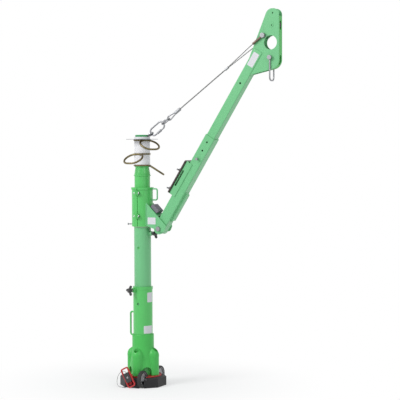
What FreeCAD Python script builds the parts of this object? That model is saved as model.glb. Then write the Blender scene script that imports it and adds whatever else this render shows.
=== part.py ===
import FreeCAD, Part
import math
import os

# Portable davit crane: floor base, three-piece mast, swivelling collar, telescopic boom and tie-back.
# Millimetres, +Z up. The origin is on the floor under the mast axis and the boom points along +X.

# Shared fits and overruns
cut_over = 6.0
run_fit = 0.05
seat_gap = 0.15
side_gap = 0.3

# Base block, its red plate and the wheels let into it
block_across = 290.0
block_height = 66.0
block_edge = 8.0
plate_outer_r = 124.0
plate_inner_r = 46.0
plate_height = 7.0
wheel_r = 58.0
wheel_width = 26.0
wheel_x = 60.0
wheel_y = 118.0
wheel_hub_r = 13.0
tyre_height = 13.0
wheel_slot_gap = 3.0
axle_r = 5.0
axle_wall = 13.0

# Mast foot casting with four legs, arches and bolt pockets
foot_bore_depth = 264.0
foot_floor = 10.0
foot_floor_hole_r = 34.0
foot_socket_wall = 8.0
foot_bell_height = 196.0
foot_bell_foot_r = 104.0
leg_count = 4
leg_axis_r = 78.0
leg_r = 38.0
leg_shoulder_height = 118.0
leg_height = 186.0
arch_width = 68.0
arch_height = 56.0
arch_inner_r = 62.0
pocket_r = 18.0
pocket_floor_height = 92.0
foot_bolt_ring_r = 91.0
foot_bolt_r = 9.0
foot_bolt_depth = 40.0
foot_bolt_head = 12.0
foot_bolt_flats = 28.0

# Lower mast tube, its grab handle, pin hole and knob boss
lower_mast_outer = 130.0
lower_mast_wall = 5.0
lower_mast_top = 669.0
lower_rim_height = 18.0
mast_pin_r = 9.0
lower_pin_z = 554.0
grab_rod_r = 6.0
grab_low_z = 333.0
grab_high_z = 490.0
grab_angle = 168.0
grab_reach = 110.0
grab_bend = 14.0
lower_knob_z = 646.0
lower_knob_angle = 240.0

# Clamping knobs
knob_boss_r = 15.0
knob_boss_length = 16.0
knob_stud_r = 6.0
knob_stud_length = 12.0
knob_hub_r = 15.0
knob_hub_length = 22.0
knob_arm_reach = 38.5
knob_arm_r = 9.0
knob_arms = 3

# Main mast tube
main_mast_outer = 114.3
main_mast_wall = 4.6
main_mast_bottom = 432.0
main_mast_top = 1071.0
main_pin_drop = 140.0
bush_length = 60.0
thrust_height = 4.0
upper_knob_drop = 43.0

# Anchor post, neck and ring stack
post_bottom = 860.0
post_wall = 6.5
neck_bead_rise = 343.0
neck_bead_height = 8.0
neck_bead_out = 4.5
neck_low_rise = 357.0
neck_top_rise = 399.0
neck_top_r = 45.5
neck_ledge_height = 6.0
neck_ledge_r = 52.0
spigot_r = 44.5
ring_bore_gap = 0.4
ring_hub_r = 58.0
ring_height = 9.0
ring_float = 0.3
ring_bar_r = 6.5
eye_radial = 122.0
eye_tangential = 147.0
eye_droop = 33.0
ring_angles = [30.0, -98.0, -30.0]
spacer_outer_r = 53.0
spacer_heights = [67.0, 83.0, 15.0]
disc_r = 108.0
disc_height = 3.0
cap_r = 47.0
cap_height = 13.0
cap_plug = 24.0
cap_edge = 4.0

# Collar sleeve on the post, with its clamp slit, gussets and fittings
collar_r = 71.0
collar_height = 262.0
collar_rim_r = 76.0
collar_rim_height = 14.0
slit_width = 4.0
clamp_ear_width = 26.0
clamp_ear_out = 16.0
clamp_ear_height = 30.0
clamp_ear_rises = [71.0, 225.0]
clamp_bolt_r = 5.0
clamp_bolt_head = 7.0
clamp_bolt_flats = 16.0
gusset_plate = 8.0
gusset_top_rise = 167.0
gusset_bottom_drop = 38.0
gusset_heel_rise = 9.0
gusset_nose_r = 40.0
gusset_bury = 12.0
web_plate = 6.0
web_start = 46.0
web_end = 132.0
pad_length = 64.0
pad_height = 26.0
pad_edge = 5.0
handle_rod_r = 5.0
handle_reach = 114.0
handle_low_rise = 179.0
handle_high_rise = 253.0
handle_bend = 12.0
pivot_x = 145.0
pivot_drop = 12.0
pivot_r = 10.0
pivot_head = 9.0
pivot_flats = 30.0
collar_pin_rise = 15.0
collar_pin_angle = 198.0
collar_pin_r = 4.0
collar_pin_out = 24.0
collar_pin_bite = 8.0
collar_pin_head_r = 7.0
collar_pin_head = 6.0

# Boom tubes, foot, adjusting holes and lock pin
boom_angle = 58.0
boom_outer_side = 75.0
boom_outer_wall = 5.0
boom_outer_corner = 8.0
boom_foot_past = 36.0
boom_outer_length = 720.0
boom_inner_wall = 5.0
boom_inner_corner = 6.0
boom_slide_gap = 0.5
boom_inner_start = 440.0
boom_length = 1366.0
adjust_first = 550.0
adjust_pitch = 64.0
adjust_count = 3
adjust_inner_steps = 7
adjust_r = 6.5
lock_pin_length = 22.0
lock_pin_head_r = 9.0
lock_pin_head = 5.0
pivot_tube_r = 16.0
rail_start = 81.0
rail_end = 312.0
rail_width = 40.0
rail_out = 16.0
rail_edge = 5.0

# Winch bracket on the boom, its plate and the two wing screws
bracket_start = 247.0
bracket_end = 496.0
bracket_wall = 5.0
bracket_lap = 25.0
bracket_rise = 23.0
bracket_window_length = 120.0
bracket_window_height = 12.0
winch_plate_height = 9.0
winch_plate_over = 8.0
winch_hole_r = 5.5
winch_hole_pitch = 50.0
wing_places = [263.0, 407.0]
wing_screw_r = 5.0
wing_screw_out = 26.0
wing_hub_r = 9.0
wing_hub_height = 14.0
wing_span = 21.0
wing_lobe_r = 6.0
wing_arm_share = 0.7
wing_rise_share = 0.5
wing_washer_r = 13.0
wing_washer_height = 3.0

# Boom head: two side plates, sheaves, bolts and hoisting bail
head_plate = 6.0
head_tang = 168.0
head_tang_clear = 1.0
head_cheek_start = 112.0
head_reach = 142.0
head_rise = 267.0
head_drop = 107.0
head_crown = 78.0
head_crown_r = 46.0
head_brow_r = 40.0
head_heel_r = 60.0
head_heel_slope_share = 0.219
head_hole_inset = 59.0
head_hole_z = 51.0
head_hole_r = 45.0
upper_axle_inset = 50.0
upper_axle_z = 160.0
lower_axle_inset = 61.0
lower_axle_z = -44.0
head_spacer_inset = 44.0
head_spacer_z = 238.0
tie_bolt_x = 34.0
tie_bolt_z = 97.0
axle_bolt_r = 8.0
axle_head_r = 15.0
axle_head = 7.0
spacer_tube_r = 13.0
crown_bore_r = 5.0
axle_cap_r = 12.0
axle_cap = 2.5
axle_bore_r = 4.0
tie_bolt_r = 6.0
front_plate = 6.0
front_top = 219.0
front_heel_run = 62.0
front_slot_gap = 1.5
front_slot_length = 60.0
heel_slot_top = -30.0
heel_slot_length = 62.0
upper_sheave_r = 50.0
lower_sheave_r = 46.0
sheave_width = 20.0
sheave_groove_r = 7.0
sheave_hub_r = 20.0
sheave_web_share = 0.5
bail_rod_r = 5.0
bail_eye_r = 14.0
bail_eye_width = 11.0
bail_drop = 146.0
bail_bend = 22.0

# Tie-back from the eye on the top cap to the bolt through the boom head
eye_centre_x = 67.0
eye_rise = 219.5
eye_loop_r = 17.0
eye_bar_r = 6.0
eye_shank_r = 5.0
eye_gap = 1.5
carabiner_length = 118.0
carabiner_bow_r = 26.0
carabiner_bar_r = 5.5
gate_bar_r = 5.0
gate_knuckle_r = 4.6
gate_knuckle_width = 12.0
gate_sleeve_r = 8.5
gate_sleeve_share = 0.5
gate_gap = 0.3
link_gap = 0.4
link_length = 64.0
link_bow_r = 17.0
link_bar_r = 5.0
link_nut_r = 8.0
link_nut_share = 0.5
thimble_length = 66.0
thimble_bow_r = 16.0
thimble_bar_r = 4.5
thimble_bend_share = 0.775
ferrule_r = 11.0
ferrule_length = 46.0
rope_r = 3.0
rope_spread = 3.3
crimp_r = 8.0
crimp_length = 28.0
crimp_share = 0.63
rope_end_gap = 0.5
thimble_gap = 0.9
swage_r = 7.5
swage_length = 70.0
end_eye_r = 17.0
end_eye_slack = 5.0
end_eye_width = 15.6

# Rocker pedal on the base, its block, and the lanyard with its pin
pedal_x = -20.0
pedal_lean = 28.0
pedal_z = 74.0
pedal_length = 138.0
pedal_width = 62.0
pedal_bar = 9.0
pedal_corner_r = 15.0
pedal_thickness = 10.0
pedal_block_width = 40.0
pedal_block_depth = 16.0
pedal_block_low = 22.0
pedal_block_top = 94.0
pedal_block_edge = 8.0
pedal_shaft_r = 7.0
pedal_grip_length = 66.0
pedal_grip_corner_r = 9.0
pedal_grip_depth = 22.0
lanyard_r = 1.5
lanyard_pin_r = 3.5
lanyard_pin_length = 24.0
lanyard_route = [
    (-66.0, -98.0, 73.6),
    (-69.0, -101.0, 87.0),
    (-80.0, -107.0, 98.0),
    (-97.0, -113.0, 102.0),
    (-113.0, -119.0, 92.0),
    (-123.0, -125.0, 73.0),
    (-127.0, -132.0, 52.0),
    (-125.0, -140.0, 31.0),
    (-117.0, -149.0, 14.0),
    (-102.0, -157.0, 5.0),
    (-84.0, -163.0, 3.6),
    (-66.0, -167.0, 3.6),
]
lanyard_bend_share = 0.45

# Sizes that follow from the ones above
foot_bottom = block_height + plate_height
foot_top = foot_bottom + foot_floor + foot_bore_depth
lower_mast_r = lower_mast_outer / 2
lower_mast_bore = lower_mast_r - lower_mast_wall
main_mast_r = main_mast_outer / 2
main_mast_bore = main_mast_r - main_mast_wall
post_r = main_mast_bore - run_fit
post_bore = post_r - post_wall
collar_bottom = main_mast_top + thrust_height
upper_knob_z = main_mast_top - upper_knob_drop
main_pin_z = main_mast_top - main_pin_drop
collar_top = collar_bottom + collar_height
gusset_top_z = collar_bottom + gusset_top_rise
gusset_bottom_z = collar_bottom - gusset_bottom_drop
gusset_heel_z = collar_bottom + gusset_heel_rise
pivot_z = collar_bottom - pivot_drop
collar_pin_z = collar_bottom + collar_pin_rise
neck_bead_z = collar_bottom + neck_bead_rise
neck_low_z = collar_bottom + neck_low_rise
neck_top_z = collar_bottom + neck_top_rise
handle_low_z = collar_bottom + handle_low_rise
handle_high_z = collar_bottom + handle_high_rise
clamp_ear_z = [collar_bottom + rise for rise in clamp_ear_rises]
eye_centre_z = neck_top_z + eye_rise
gusset_inner_y = boom_outer_side / 2 + boom_slide_gap * 4
gusset_outer_y = gusset_inner_y + gusset_plate
boom_inner_side = boom_outer_side - 2 * (boom_outer_wall + boom_slide_gap)
head_outer_y = boom_inner_side / 2 - boom_inner_wall - seat_gap
head_inner_y = head_outer_y - head_plate
boom_lean = math.radians(boom_angle)
head_x = pivot_x + boom_length * math.cos(boom_lean)
head_z = pivot_z + boom_length * math.sin(boom_lean)
tie_far_x = head_x + tie_bolt_x
head_hole_x = head_reach - head_hole_inset
upper_axle_x = head_reach - upper_axle_inset
lower_axle_x = head_reach - lower_axle_inset
head_spacer_x = head_reach - head_spacer_inset
tie_far_z = head_z + tie_bolt_z

X_AXIS = FreeCAD.Vector(1, 0, 0)
Y_AXIS = FreeCAD.Vector(0, 1, 0)
Z_AXIS = FreeCAD.Vector(0, 0, 1)


def point(x, y, z):
    return FreeCAD.Vector(x, y, z)


def polar(radius, degrees, z):
    angle = math.radians(degrees)
    return point(radius * math.cos(angle), radius * math.sin(angle), z)


def rod(start, direction, radius, length):
    return Part.makeCylinder(radius, length, start, direction)


def pipe(start, direction, outer, inner, length):
    past = direction * (cut_over / direction.Length)
    hole = rod(start - past, direction, inner, length + 2 * cut_over)
    return rod(start, direction, outer, length).cut(hole)


def joined(shapes):
    return shapes[0].multiFuse(shapes[1:]).removeSplitter()


def spun(profile, axis_start, axis):
    """Solid of revolution from (radius, height) pairs, where a third entry is the middle of an arc."""
    edges = []
    corners = [entry if len(entry) == 2 else entry[:2] for entry in profile]
    for index, entry in enumerate(profile):
        here = point(corners[index][0], 0, corners[index][1])
        after = corners[(index + 1) % len(corners)]
        there = point(after[0], 0, after[1])
        if len(entry) == 3:
            middle = point(entry[2][0], 0, entry[2][1])
            edges.append(Part.Arc(here, middle, there).toShape())
        else:
            edges.append(Part.LineSegment(here, there).toShape())
    solid = Part.Face(Part.Wire(edges)).revolve(point(0, 0, 0), Z_AXIS, 360)
    solid.Placement = FreeCAD.Placement(axis_start, FreeCAD.Rotation(Z_AXIS, axis))
    return Part.Solid(solid) if solid.ShapeType == "Shell" else solid


def rounded_wire(corners, radii, closed):
    """Straight runs joined by tangent arcs of the given radii, one radius for each corner."""
    starts = []
    ends = []
    middles = []
    count = len(corners)
    for index, corner in enumerate(corners):
        inside = closed or 0 < index < count - 1
        if not inside or radii[index] == 0:
            starts.append(corner)
            ends.append(corner)
            middles.append(None)
            continue
        back = (corners[index - 1] - corner).normalize()
        on = (corners[(index + 1) % count] - corner).normalize()
        half = back.getAngle(on) / 2
        starts.append(corner + back * (radii[index] / math.tan(half)))
        ends.append(corner + on * (radii[index] / math.tan(half)))
        towards = (back + on).normalize()
        middles.append(corner + towards * (radii[index] / math.sin(half) - radii[index]))
    edges = []
    for index in range(count):
        if middles[index] is not None:
            edges.append(Part.Arc(starts[index], middles[index], ends[index]).toShape())
        after = (index + 1) % count
        if (closed or index < count - 1) and ends[index].distanceToPoint(starts[after]) > 1e-6:
            edges.append(Part.LineSegment(ends[index], starts[after]).toShape())
    return Part.Wire(edges)


def slab(corners, radii, thickness):
    """Flat plate with a rounded outline, pushed along the thickness vector."""
    face = Part.Face(rounded_wire(corners, radii, True))
    return face.extrude(thickness)


def bent_rod(corners, bend, radius):
    """Round rod along straight runs joined by arcs of one bend radius."""
    path = rounded_wire(corners, [bend] * len(corners), False)
    heading = (corners[1] - corners[0]).normalize()
    section = Part.Wire(Part.makeCircle(radius, corners[0], heading))
    return path.makePipeShell([section], True, True)


def stadium_link(centre, along, across, straight, bow_r, bar_r):
    """Closed oval link of round bar: two straight sides and two half-round bows."""
    normal = along.cross(across)
    pieces = []
    for side in (1, -1):
        start = centre - along * (straight / 2) + across * (side * bow_r)
        pieces.append(rod(start, along, bar_r, straight))
        middle = centre + along * (side * straight / 2)
        turn = FreeCAD.Rotation(across * -side, along * side, normal, "ZXY")
        bow = Part.makeTorus(bow_r, bar_r, point(0, 0, 0), Z_AXIS, -180, 180, 180)
        bow.Placement = FreeCAD.Placement(middle, turn)
        pieces.append(bow)
    return joined(pieces)


def hexagon_head(start, direction, flats, height):
    across = direction.cross(X_AXIS) if abs(direction.dot(X_AXIS)) < 0.9 else direction.cross(Z_AXIS)
    across = across.normalize()
    corner_r = flats / math.sqrt(3)
    turns = [FreeCAD.Rotation(direction, 60 * step) for step in range(6)]
    corners = [start + turn.multVec(across * corner_r) for turn in turns]
    return slab(corners, [0] * len(corners), direction * height)


def boom_point(along, across=0.0, side=0.0):
    """Point by its distance along the boom from the pivot, up across it, and sideways."""
    x = pivot_x + along * math.cos(boom_lean) - across * math.sin(boom_lean)
    z = pivot_z + along * math.sin(boom_lean) + across * math.cos(boom_lean)
    return point(x, side, z)


def eye_centre():
    return point(eye_centre_x, 0, eye_centre_z)


BOOM_ALONG = point(math.cos(boom_lean), 0, math.sin(boom_lean))
BOOM_UP = point(-math.sin(boom_lean), 0, math.cos(boom_lean))
TIE_ALONG = (point(tie_far_x, 0, tie_far_z) - eye_centre()).normalize()
TIE_UP = point(-TIE_ALONG.z, 0, TIE_ALONG.x)
TIE_START = eye_centre() + TIE_ALONG * (eye_loop_r - eye_bar_r - carabiner_bar_r - eye_gap)
TIE_LENGTH = (point(tie_far_x, 0, tie_far_z) - TIE_START).Length


def wheel_centre(side):
    return point(wheel_x, side * wheel_y, wheel_r)


def wheel_slot(side):
    """Clear space that a wheel turns in, open to the floor and to the block's edge."""
    width = wheel_width + 2 * wheel_slot_gap
    reach = wheel_r + wheel_slot_gap
    low = wheel_centre(side) - point(width / 2, reach, wheel_r + cut_over)
    block = Part.makeBox(width, 2 * reach, wheel_r + block_height + cut_over, low)
    outside = low + point(0, reach if side > 0 else -reach, 0)
    return block.fuse(Part.makeBox(width, 2 * reach, wheel_r + block_height + cut_over, outside))


def wheel_axle(side):
    length = wheel_width + 2 * (wheel_slot_gap + axle_wall)
    return rod(wheel_centre(side) - point(length / 2, 0, 0), X_AXIS, axle_r, length)


def leg_angles():
    return [360.0 / leg_count * step for step in range(leg_count)]


def base_block():
    corner_r = block_across / 2 / math.cos(math.pi / 8)
    corners = [polar(corner_r, 22.5 + 45 * step, 0) for step in range(8)]
    block = slab(corners, [0] * len(corners), point(0, 0, block_height))
    rim = [edge for edge in block.Edges if edge.BoundBox.ZMin > block_height - run_fit]
    block = block.makeChamfer(block_edge, rim)
    for side in (1, -1):
        block = block.cut(wheel_slot(side))
        length = wheel_width + 2 * (wheel_slot_gap + axle_wall)
        start = wheel_centre(side) - point(length / 2, 0, 0)
        block = block.cut(rod(start, X_AXIS, axle_r + run_fit, length))
    for angle in leg_angles():
        start = polar(foot_bolt_ring_r, angle, block_height - foot_bolt_depth)
        block = block.cut(rod(start, Z_AXIS, foot_bolt_r + run_fit, foot_bolt_depth + cut_over))
    return block


def base_plate():
    plate = pipe(point(0, 0, block_height), Z_AXIS, plate_outer_r, plate_inner_r, plate_height)
    for side in (1, -1):
        plate = plate.cut(wheel_slot(side))
    for angle in leg_angles():
        start = polar(foot_bolt_ring_r, angle, block_height - cut_over)
        plate = plate.cut(rod(start, Z_AXIS, foot_bolt_r + side_gap, plate_height + 2 * cut_over))
    return plate


def foot_leg(angle):
    """Bullet-shaped leg with a domed top."""
    dome_r = leg_r * math.cos(math.pi / 4)
    dome_z = leg_shoulder_height + (leg_height - leg_shoulder_height) * math.sin(math.pi / 4)
    profile = [
        (0, 0),
        (leg_r, 0),
        (leg_r, leg_shoulder_height, (dome_r, dome_z)),
        (0, leg_height),
    ]
    return spun(profile, polar(leg_axis_r, angle, foot_bottom), Z_AXIS)


def foot_arch(angle):
    """Round-topped tunnel between two legs, along one diagonal."""
    out = polar(1, angle, 0)
    across = polar(1, angle + 90, 0)
    half = arch_width / 2
    length = plate_outer_r
    start = polar(arch_inner_r, angle, foot_bottom)
    spring = arch_height - half
    crown = rod(start + Z_AXIS * spring, out, half, length)
    corners = [
        start - across * half - Z_AXIS * cut_over,
        start + across * half - Z_AXIS * cut_over,
        start + across * half + Z_AXIS * spring,
        start - across * half + Z_AXIS * spring,
    ]
    return crown.fuse(slab(corners, [0] * len(corners), out * length))


def mast_foot():
    socket_r = lower_mast_r + seat_gap + foot_socket_wall
    waist_r = (socket_r + foot_bell_foot_r) / 2 - foot_socket_wall / 2
    profile = [
        (0, foot_bottom),
        (foot_bell_foot_r, foot_bottom, (waist_r, foot_bottom + foot_bell_height / 2)),
        (socket_r, foot_bottom + foot_bell_height),
        (socket_r, foot_top),
        (0, foot_top),
    ]
    body = joined([spun(profile, point(0, 0, 0), Z_AXIS)] + [foot_leg(angle) for angle in leg_angles()])
    bore_z = foot_bottom + foot_floor
    body = body.cut(rod(point(0, 0, bore_z), Z_AXIS, lower_mast_r + seat_gap, foot_bore_depth + cut_over))
    body = body.cut(rod(point(0, 0, foot_bottom - cut_over), Z_AXIS, foot_floor_hole_r, foot_bore_depth))
    arch_width_x = wheel_width + 2 * wheel_slot_gap
    for side in (1, -1):
        start = wheel_centre(side) - X_AXIS * (arch_width_x / 2)
        body = body.cut(rod(start, X_AXIS, wheel_r + wheel_slot_gap, arch_width_x))
    for angle in leg_angles():
        body = body.cut(foot_arch(angle + 180.0 / leg_count))
        pocket = polar(foot_bolt_ring_r, angle, foot_bottom + pocket_floor_height)
        body = body.cut(rod(pocket, Z_AXIS, pocket_r, foot_bore_depth))
        hole = polar(foot_bolt_ring_r, angle, foot_bottom - cut_over)
        body = body.cut(rod(hole, Z_AXIS, foot_bolt_r + side_gap, pocket_floor_height + 2 * cut_over))
    return body


def foot_bolts():
    bolts = []
    for angle in leg_angles():
        seat = polar(foot_bolt_ring_r, angle, foot_bottom + pocket_floor_height)
        start = polar(foot_bolt_ring_r, angle, block_height - foot_bolt_depth)
        shank = rod(start, Z_AXIS, foot_bolt_r, seat.z - start.z)
        bolts.append(joined([shank, hexagon_head(seat, Z_AXIS, foot_bolt_flats, foot_bolt_head)]))
    return Part.makeCompound(bolts)


def knob_boss(wall_r, angle, z):
    """Round boss welded to a tube, before the tube's bore is cut."""
    return rod(polar(wall_r - knob_boss_r / 2, angle, z), polar(1, angle, 0), knob_boss_r,
               knob_boss_length + knob_boss_r / 2)


def clamp_knob(wall_r, bore_r, angle, z):
    """Three-armed knob on a stud that reaches through the boss and the wall."""
    out = polar(1, angle, 0)
    tip = polar(bore_r, angle, z)
    face = polar(wall_r + knob_boss_length + knob_stud_length, angle, z)
    pieces = [rod(tip, out, knob_stud_r, (face - tip).Length), rod(face, out, knob_hub_r, knob_hub_length)]
    for step in range(knob_arms):
        turn = FreeCAD.Rotation(out, 90 + 360.0 / knob_arms * step)
        arm = turn.multVec(Z_AXIS)
        root = face + out * (knob_hub_length / 2)
        pieces.append(rod(root, arm, knob_arm_r, knob_arm_reach - knob_arm_r))
        pieces.append(Part.makeSphere(knob_arm_r, root + arm * (knob_arm_reach - knob_arm_r)))
    return joined(pieces)


def lower_mast():
    bottom = foot_bottom + foot_floor
    rim_r = lower_mast_r + lower_mast_wall / 2
    tube = rod(point(0, 0, bottom), Z_AXIS, lower_mast_r, lower_mast_top - bottom)
    rim = rod(point(0, 0, lower_mast_top - lower_rim_height), Z_AXIS, rim_r, lower_rim_height)
    body = joined([tube, rim, knob_boss(lower_mast_r, lower_knob_angle, lower_knob_z)])
    bore = rod(point(0, 0, bottom - cut_over), Z_AXIS, lower_mast_bore, lower_mast_top + cut_over)
    body = body.cut(bore)
    neck_r = main_mast_r + side_gap
    neck_low = point(0, 0, lower_mast_top - bush_length)
    neck = pipe(neck_low, Z_AXIS, lower_mast_bore + run_fit, neck_r, bush_length)
    body = body.fuse(neck).removeSplitter()
    stud = polar(main_mast_r - cut_over, lower_knob_angle, lower_knob_z)
    body = body.cut(rod(stud, polar(1, lower_knob_angle, 0), knob_stud_r + run_fit, lower_mast_outer))
    pin = point(0, -lower_mast_outer, lower_pin_z)
    return body.cut(rod(pin, Y_AXIS, mast_pin_r, 2 * lower_mast_outer))


def grab_handle():
    """Bent rod welded to the back of the lower mast."""
    wall = lower_mast_r + seat_gap
    socket = lower_mast_r + foot_socket_wall + 2 * seat_gap
    corners = [
        polar(socket, grab_angle, grab_low_z),
        polar(grab_reach, grab_angle, grab_low_z),
        polar(grab_reach, grab_angle, grab_high_z),
        polar(wall, grab_angle, grab_high_z),
    ]
    return bent_rod(corners, grab_bend, grab_rod_r)


def wheel_rim(side):
    """Spun metal wheel centre with a dished face on both sides."""
    half = wheel_width / 2
    seat_r = wheel_r - tyre_height
    dish = half - axle_r / 2
    profile = [
        (axle_r + run_fit, -half),
        (wheel_hub_r, -half),
        (wheel_hub_r + axle_r / 2, -half + dish),
        (seat_r - axle_r, -half + dish),
        (seat_r - axle_r / 2, -half),
        (seat_r, -half),
        (seat_r, half),
        (seat_r - axle_r / 2, half),
        (seat_r - axle_r, half - dish),
        (wheel_hub_r + axle_r / 2, half - dish),
        (wheel_hub_r, half),
        (axle_r + run_fit, half),
    ]
    return spun(profile, wheel_centre(side), X_AXIS)


def wheel_tyre(side):
    """Solid rubber tyre with rounded shoulders."""
    half = wheel_width / 2
    seat_r = wheel_r - tyre_height + run_fit
    shoulder = tyre_height / 2
    bulge = shoulder * (1 - math.cos(math.pi / 4))
    profile = [
        (seat_r, -half),
        (wheel_r - shoulder, -half, (wheel_r - bulge, -half + bulge)),
        (wheel_r, -half + shoulder),
        (wheel_r, half - shoulder, (wheel_r - bulge, half - bulge)),
        (wheel_r - shoulder, half),
        (seat_r, half),
    ]
    return spun(profile, wheel_centre(side), X_AXIS)


def main_mast():
    tube = rod(point(0, 0, main_mast_bottom), Z_AXIS, main_mast_r, main_mast_top - main_mast_bottom)
    body = joined([tube, knob_boss(main_mast_r, 0, upper_knob_z)])
    bore = rod(point(0, 0, main_mast_bottom - cut_over), Z_AXIS, main_mast_bore, main_mast_top + cut_over)
    stud = polar(main_mast_bore - cut_over, 0, upper_knob_z)
    body = body.cut(bore).cut(rod(stud, X_AXIS, knob_stud_r + run_fit, main_mast_outer))
    pin = point(0, -main_mast_outer, main_pin_z)
    return body.cut(rod(pin, Y_AXIS, mast_pin_r, main_mast_outer))


def guide_bush():
    """Bush on the foot of the main mast, which guides it in the lower mast."""
    start = point(0, 0, main_mast_bottom)
    return pipe(start, Z_AXIS, lower_mast_bore - side_gap, main_mast_r + run_fit, bush_length)


def thrust_washer():
    start = point(0, 0, main_mast_top)
    return pipe(start, Z_AXIS, main_mast_r + thrust_height / 2, post_r + side_gap, thrust_height)


def ring_levels():
    """Underside of each anchor ring, working up the spigot from the ledge."""
    levels = []
    z = neck_top_z + neck_ledge_height
    for height in spacer_heights:
        levels.append(z + ring_float)
        z = z + ring_height + 2 * ring_float + height
    return levels


def spigot_top():
    return (neck_top_z + neck_ledge_height + disc_height
            + sum(spacer_heights) + len(spacer_heights) * (ring_height + 2 * ring_float))


def anchor_post():
    """Swivelling post: plain lower stretch, beaded and tapered neck, and a spigot for the rings."""
    bead_r = post_r + neck_bead_out
    ledge = neck_top_z + neck_ledge_height
    profile = [
        (post_bore, post_bottom),
        (post_r, post_bottom),
        (post_r, neck_bead_z - neck_bead_height / 2),
        (bead_r, neck_bead_z - neck_bead_height / 2),
        (bead_r, neck_bead_z + neck_bead_height / 2),
        (post_r, neck_bead_z + neck_bead_height / 2),
        (post_r, neck_low_z),
        (neck_top_r, neck_top_z),
        (neck_ledge_r, neck_top_z),
        (neck_ledge_r, ledge),
        (spigot_r, ledge),
        (spigot_r, spigot_top()),
        (spigot_r - post_wall, spigot_top()),
        (spigot_r - post_wall, neck_top_z),
        (post_bore, neck_low_z),
    ]
    return spun(profile, point(0, 0, 0), Z_AXIS)


def ring_spacers():
    sleeves = []
    for level, height, index in zip(ring_levels(), spacer_heights, range(len(spacer_heights))):
        lift = disc_height if index == len(spacer_heights) - 1 else 0
        start = point(0, 0, level + ring_height + ring_float + lift)
        sleeves.append(pipe(start, Z_AXIS, spacer_outer_r, spigot_r + seat_gap, height))
    return Part.makeCompound(sleeves)


def retaining_disc():
    start = point(0, 0, ring_levels()[-1] + ring_height + ring_float)
    return pipe(start, Z_AXIS, disc_r, spigot_r + seat_gap, disc_height)


def eye_shank_end():
    return point(cap_r + eye_bar_r, 0, spigot_top() + cap_height / 2)


def top_cap():
    top = spigot_top()
    plug_r = spigot_r - post_wall - seat_gap
    profile = [
        (0, top - cap_plug),
        (plug_r, top - cap_plug),
        (plug_r, top),
        (cap_r, top),
        (cap_r, top + cap_height - cap_edge),
        (cap_r - cap_edge, top + cap_height),
        (0, top + cap_height),
    ]
    shank = rod(eye_shank_end(), X_AXIS * -1, eye_shank_r + run_fit, cap_r)
    return spun(profile, point(0, 0, 0), Z_AXIS).cut(shank)


def anchor_ring(index):
    """Free-turning ring with one large oval eye, bent down from the hub."""
    level = ring_levels()[index]
    bore_r = spigot_r + ring_bore_gap
    hub = pipe(point(0, 0, level), Z_AXIS, ring_hub_r, bore_r, ring_height)
    droop = math.radians(eye_droop)
    along = point(math.cos(droop), 0, -math.sin(droop))
    bow_r = eye_radial / 2 - ring_bar_r
    straight = eye_tangential - eye_radial
    root = point(ring_hub_r - ring_bar_r, 0, level + ring_height - ring_bar_r)
    eye = stadium_link(root + along * bow_r, Y_AXIS, along, straight, bow_r, ring_bar_r)
    clear_r = spacer_outer_r + side_gap
    clear = rod(point(0, 0, level - eye_radial), Z_AXIS, clear_r, 2 * eye_radial)
    ring = joined([hub, eye.cut(clear)])
    ring.rotate(point(0, 0, 0), Z_AXIS, ring_angles[index])
    return ring


def ear_block(z):
    """Pair of clamp ears across the collar's slit, on the near side."""
    low = point(-clamp_ear_width / 2, -collar_r - clamp_ear_out, z - clamp_ear_height / 2)
    return Part.makeBox(clamp_ear_width, clamp_ear_out + collar_r / 4, clamp_ear_height, low)


def collar_sleeve():
    height = collar_top - collar_bottom
    sleeve = rod(point(0, 0, collar_bottom), Z_AXIS, collar_r, height)
    rim = rod(point(0, 0, collar_top - collar_rim_height), Z_AXIS, collar_rim_r, collar_rim_height)
    body = joined([sleeve, rim] + [ear_block(z) for z in clamp_ear_z])
    below = point(0, 0, collar_bottom - cut_over)
    body = body.cut(rod(below, Z_AXIS, post_r + seat_gap, height + 2 * cut_over))
    half = slit_width / 2
    out = collar_r + clamp_ear_out
    slit = Part.makeBox(slit_width, out + cut_over, height + 2 * cut_over,
                        point(-half, -out - cut_over, collar_bottom - cut_over))
    body = body.cut(slit)
    for z in clamp_ear_z:
        hole_r = clamp_bolt_r + seat_gap
        body = body.cut(rod(clamp_bolt_start(z), X_AXIS, hole_r, clamp_ear_width + 2 * cut_over))
    pin = polar(collar_r - collar_pin_bite, collar_pin_angle, collar_pin_z)
    return body.cut(rod(pin, polar(1, collar_pin_angle, 0), collar_pin_r + run_fit, collar_r))


def clamp_bolt_start(z):
    return point(-clamp_ear_width / 2 - cut_over, -collar_r - clamp_ear_out / 2, z)


def clamp_bolts():
    bolts = []
    for z in clamp_ear_z:
        seat = point(clamp_ear_width / 2, -collar_r - clamp_ear_out / 2, z)
        back = point(-clamp_ear_width / 2, seat.y, z)
        shank = rod(back, X_AXIS, clamp_bolt_r, clamp_ear_width)
        head = hexagon_head(seat, X_AXIS, clamp_bolt_flats, clamp_bolt_head)
        nut = hexagon_head(back, X_AXIS * -1, clamp_bolt_flats, clamp_bolt_head)
        bolts.append(joined([shank, head, nut]))
    return Part.makeCompound(bolts)


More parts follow.
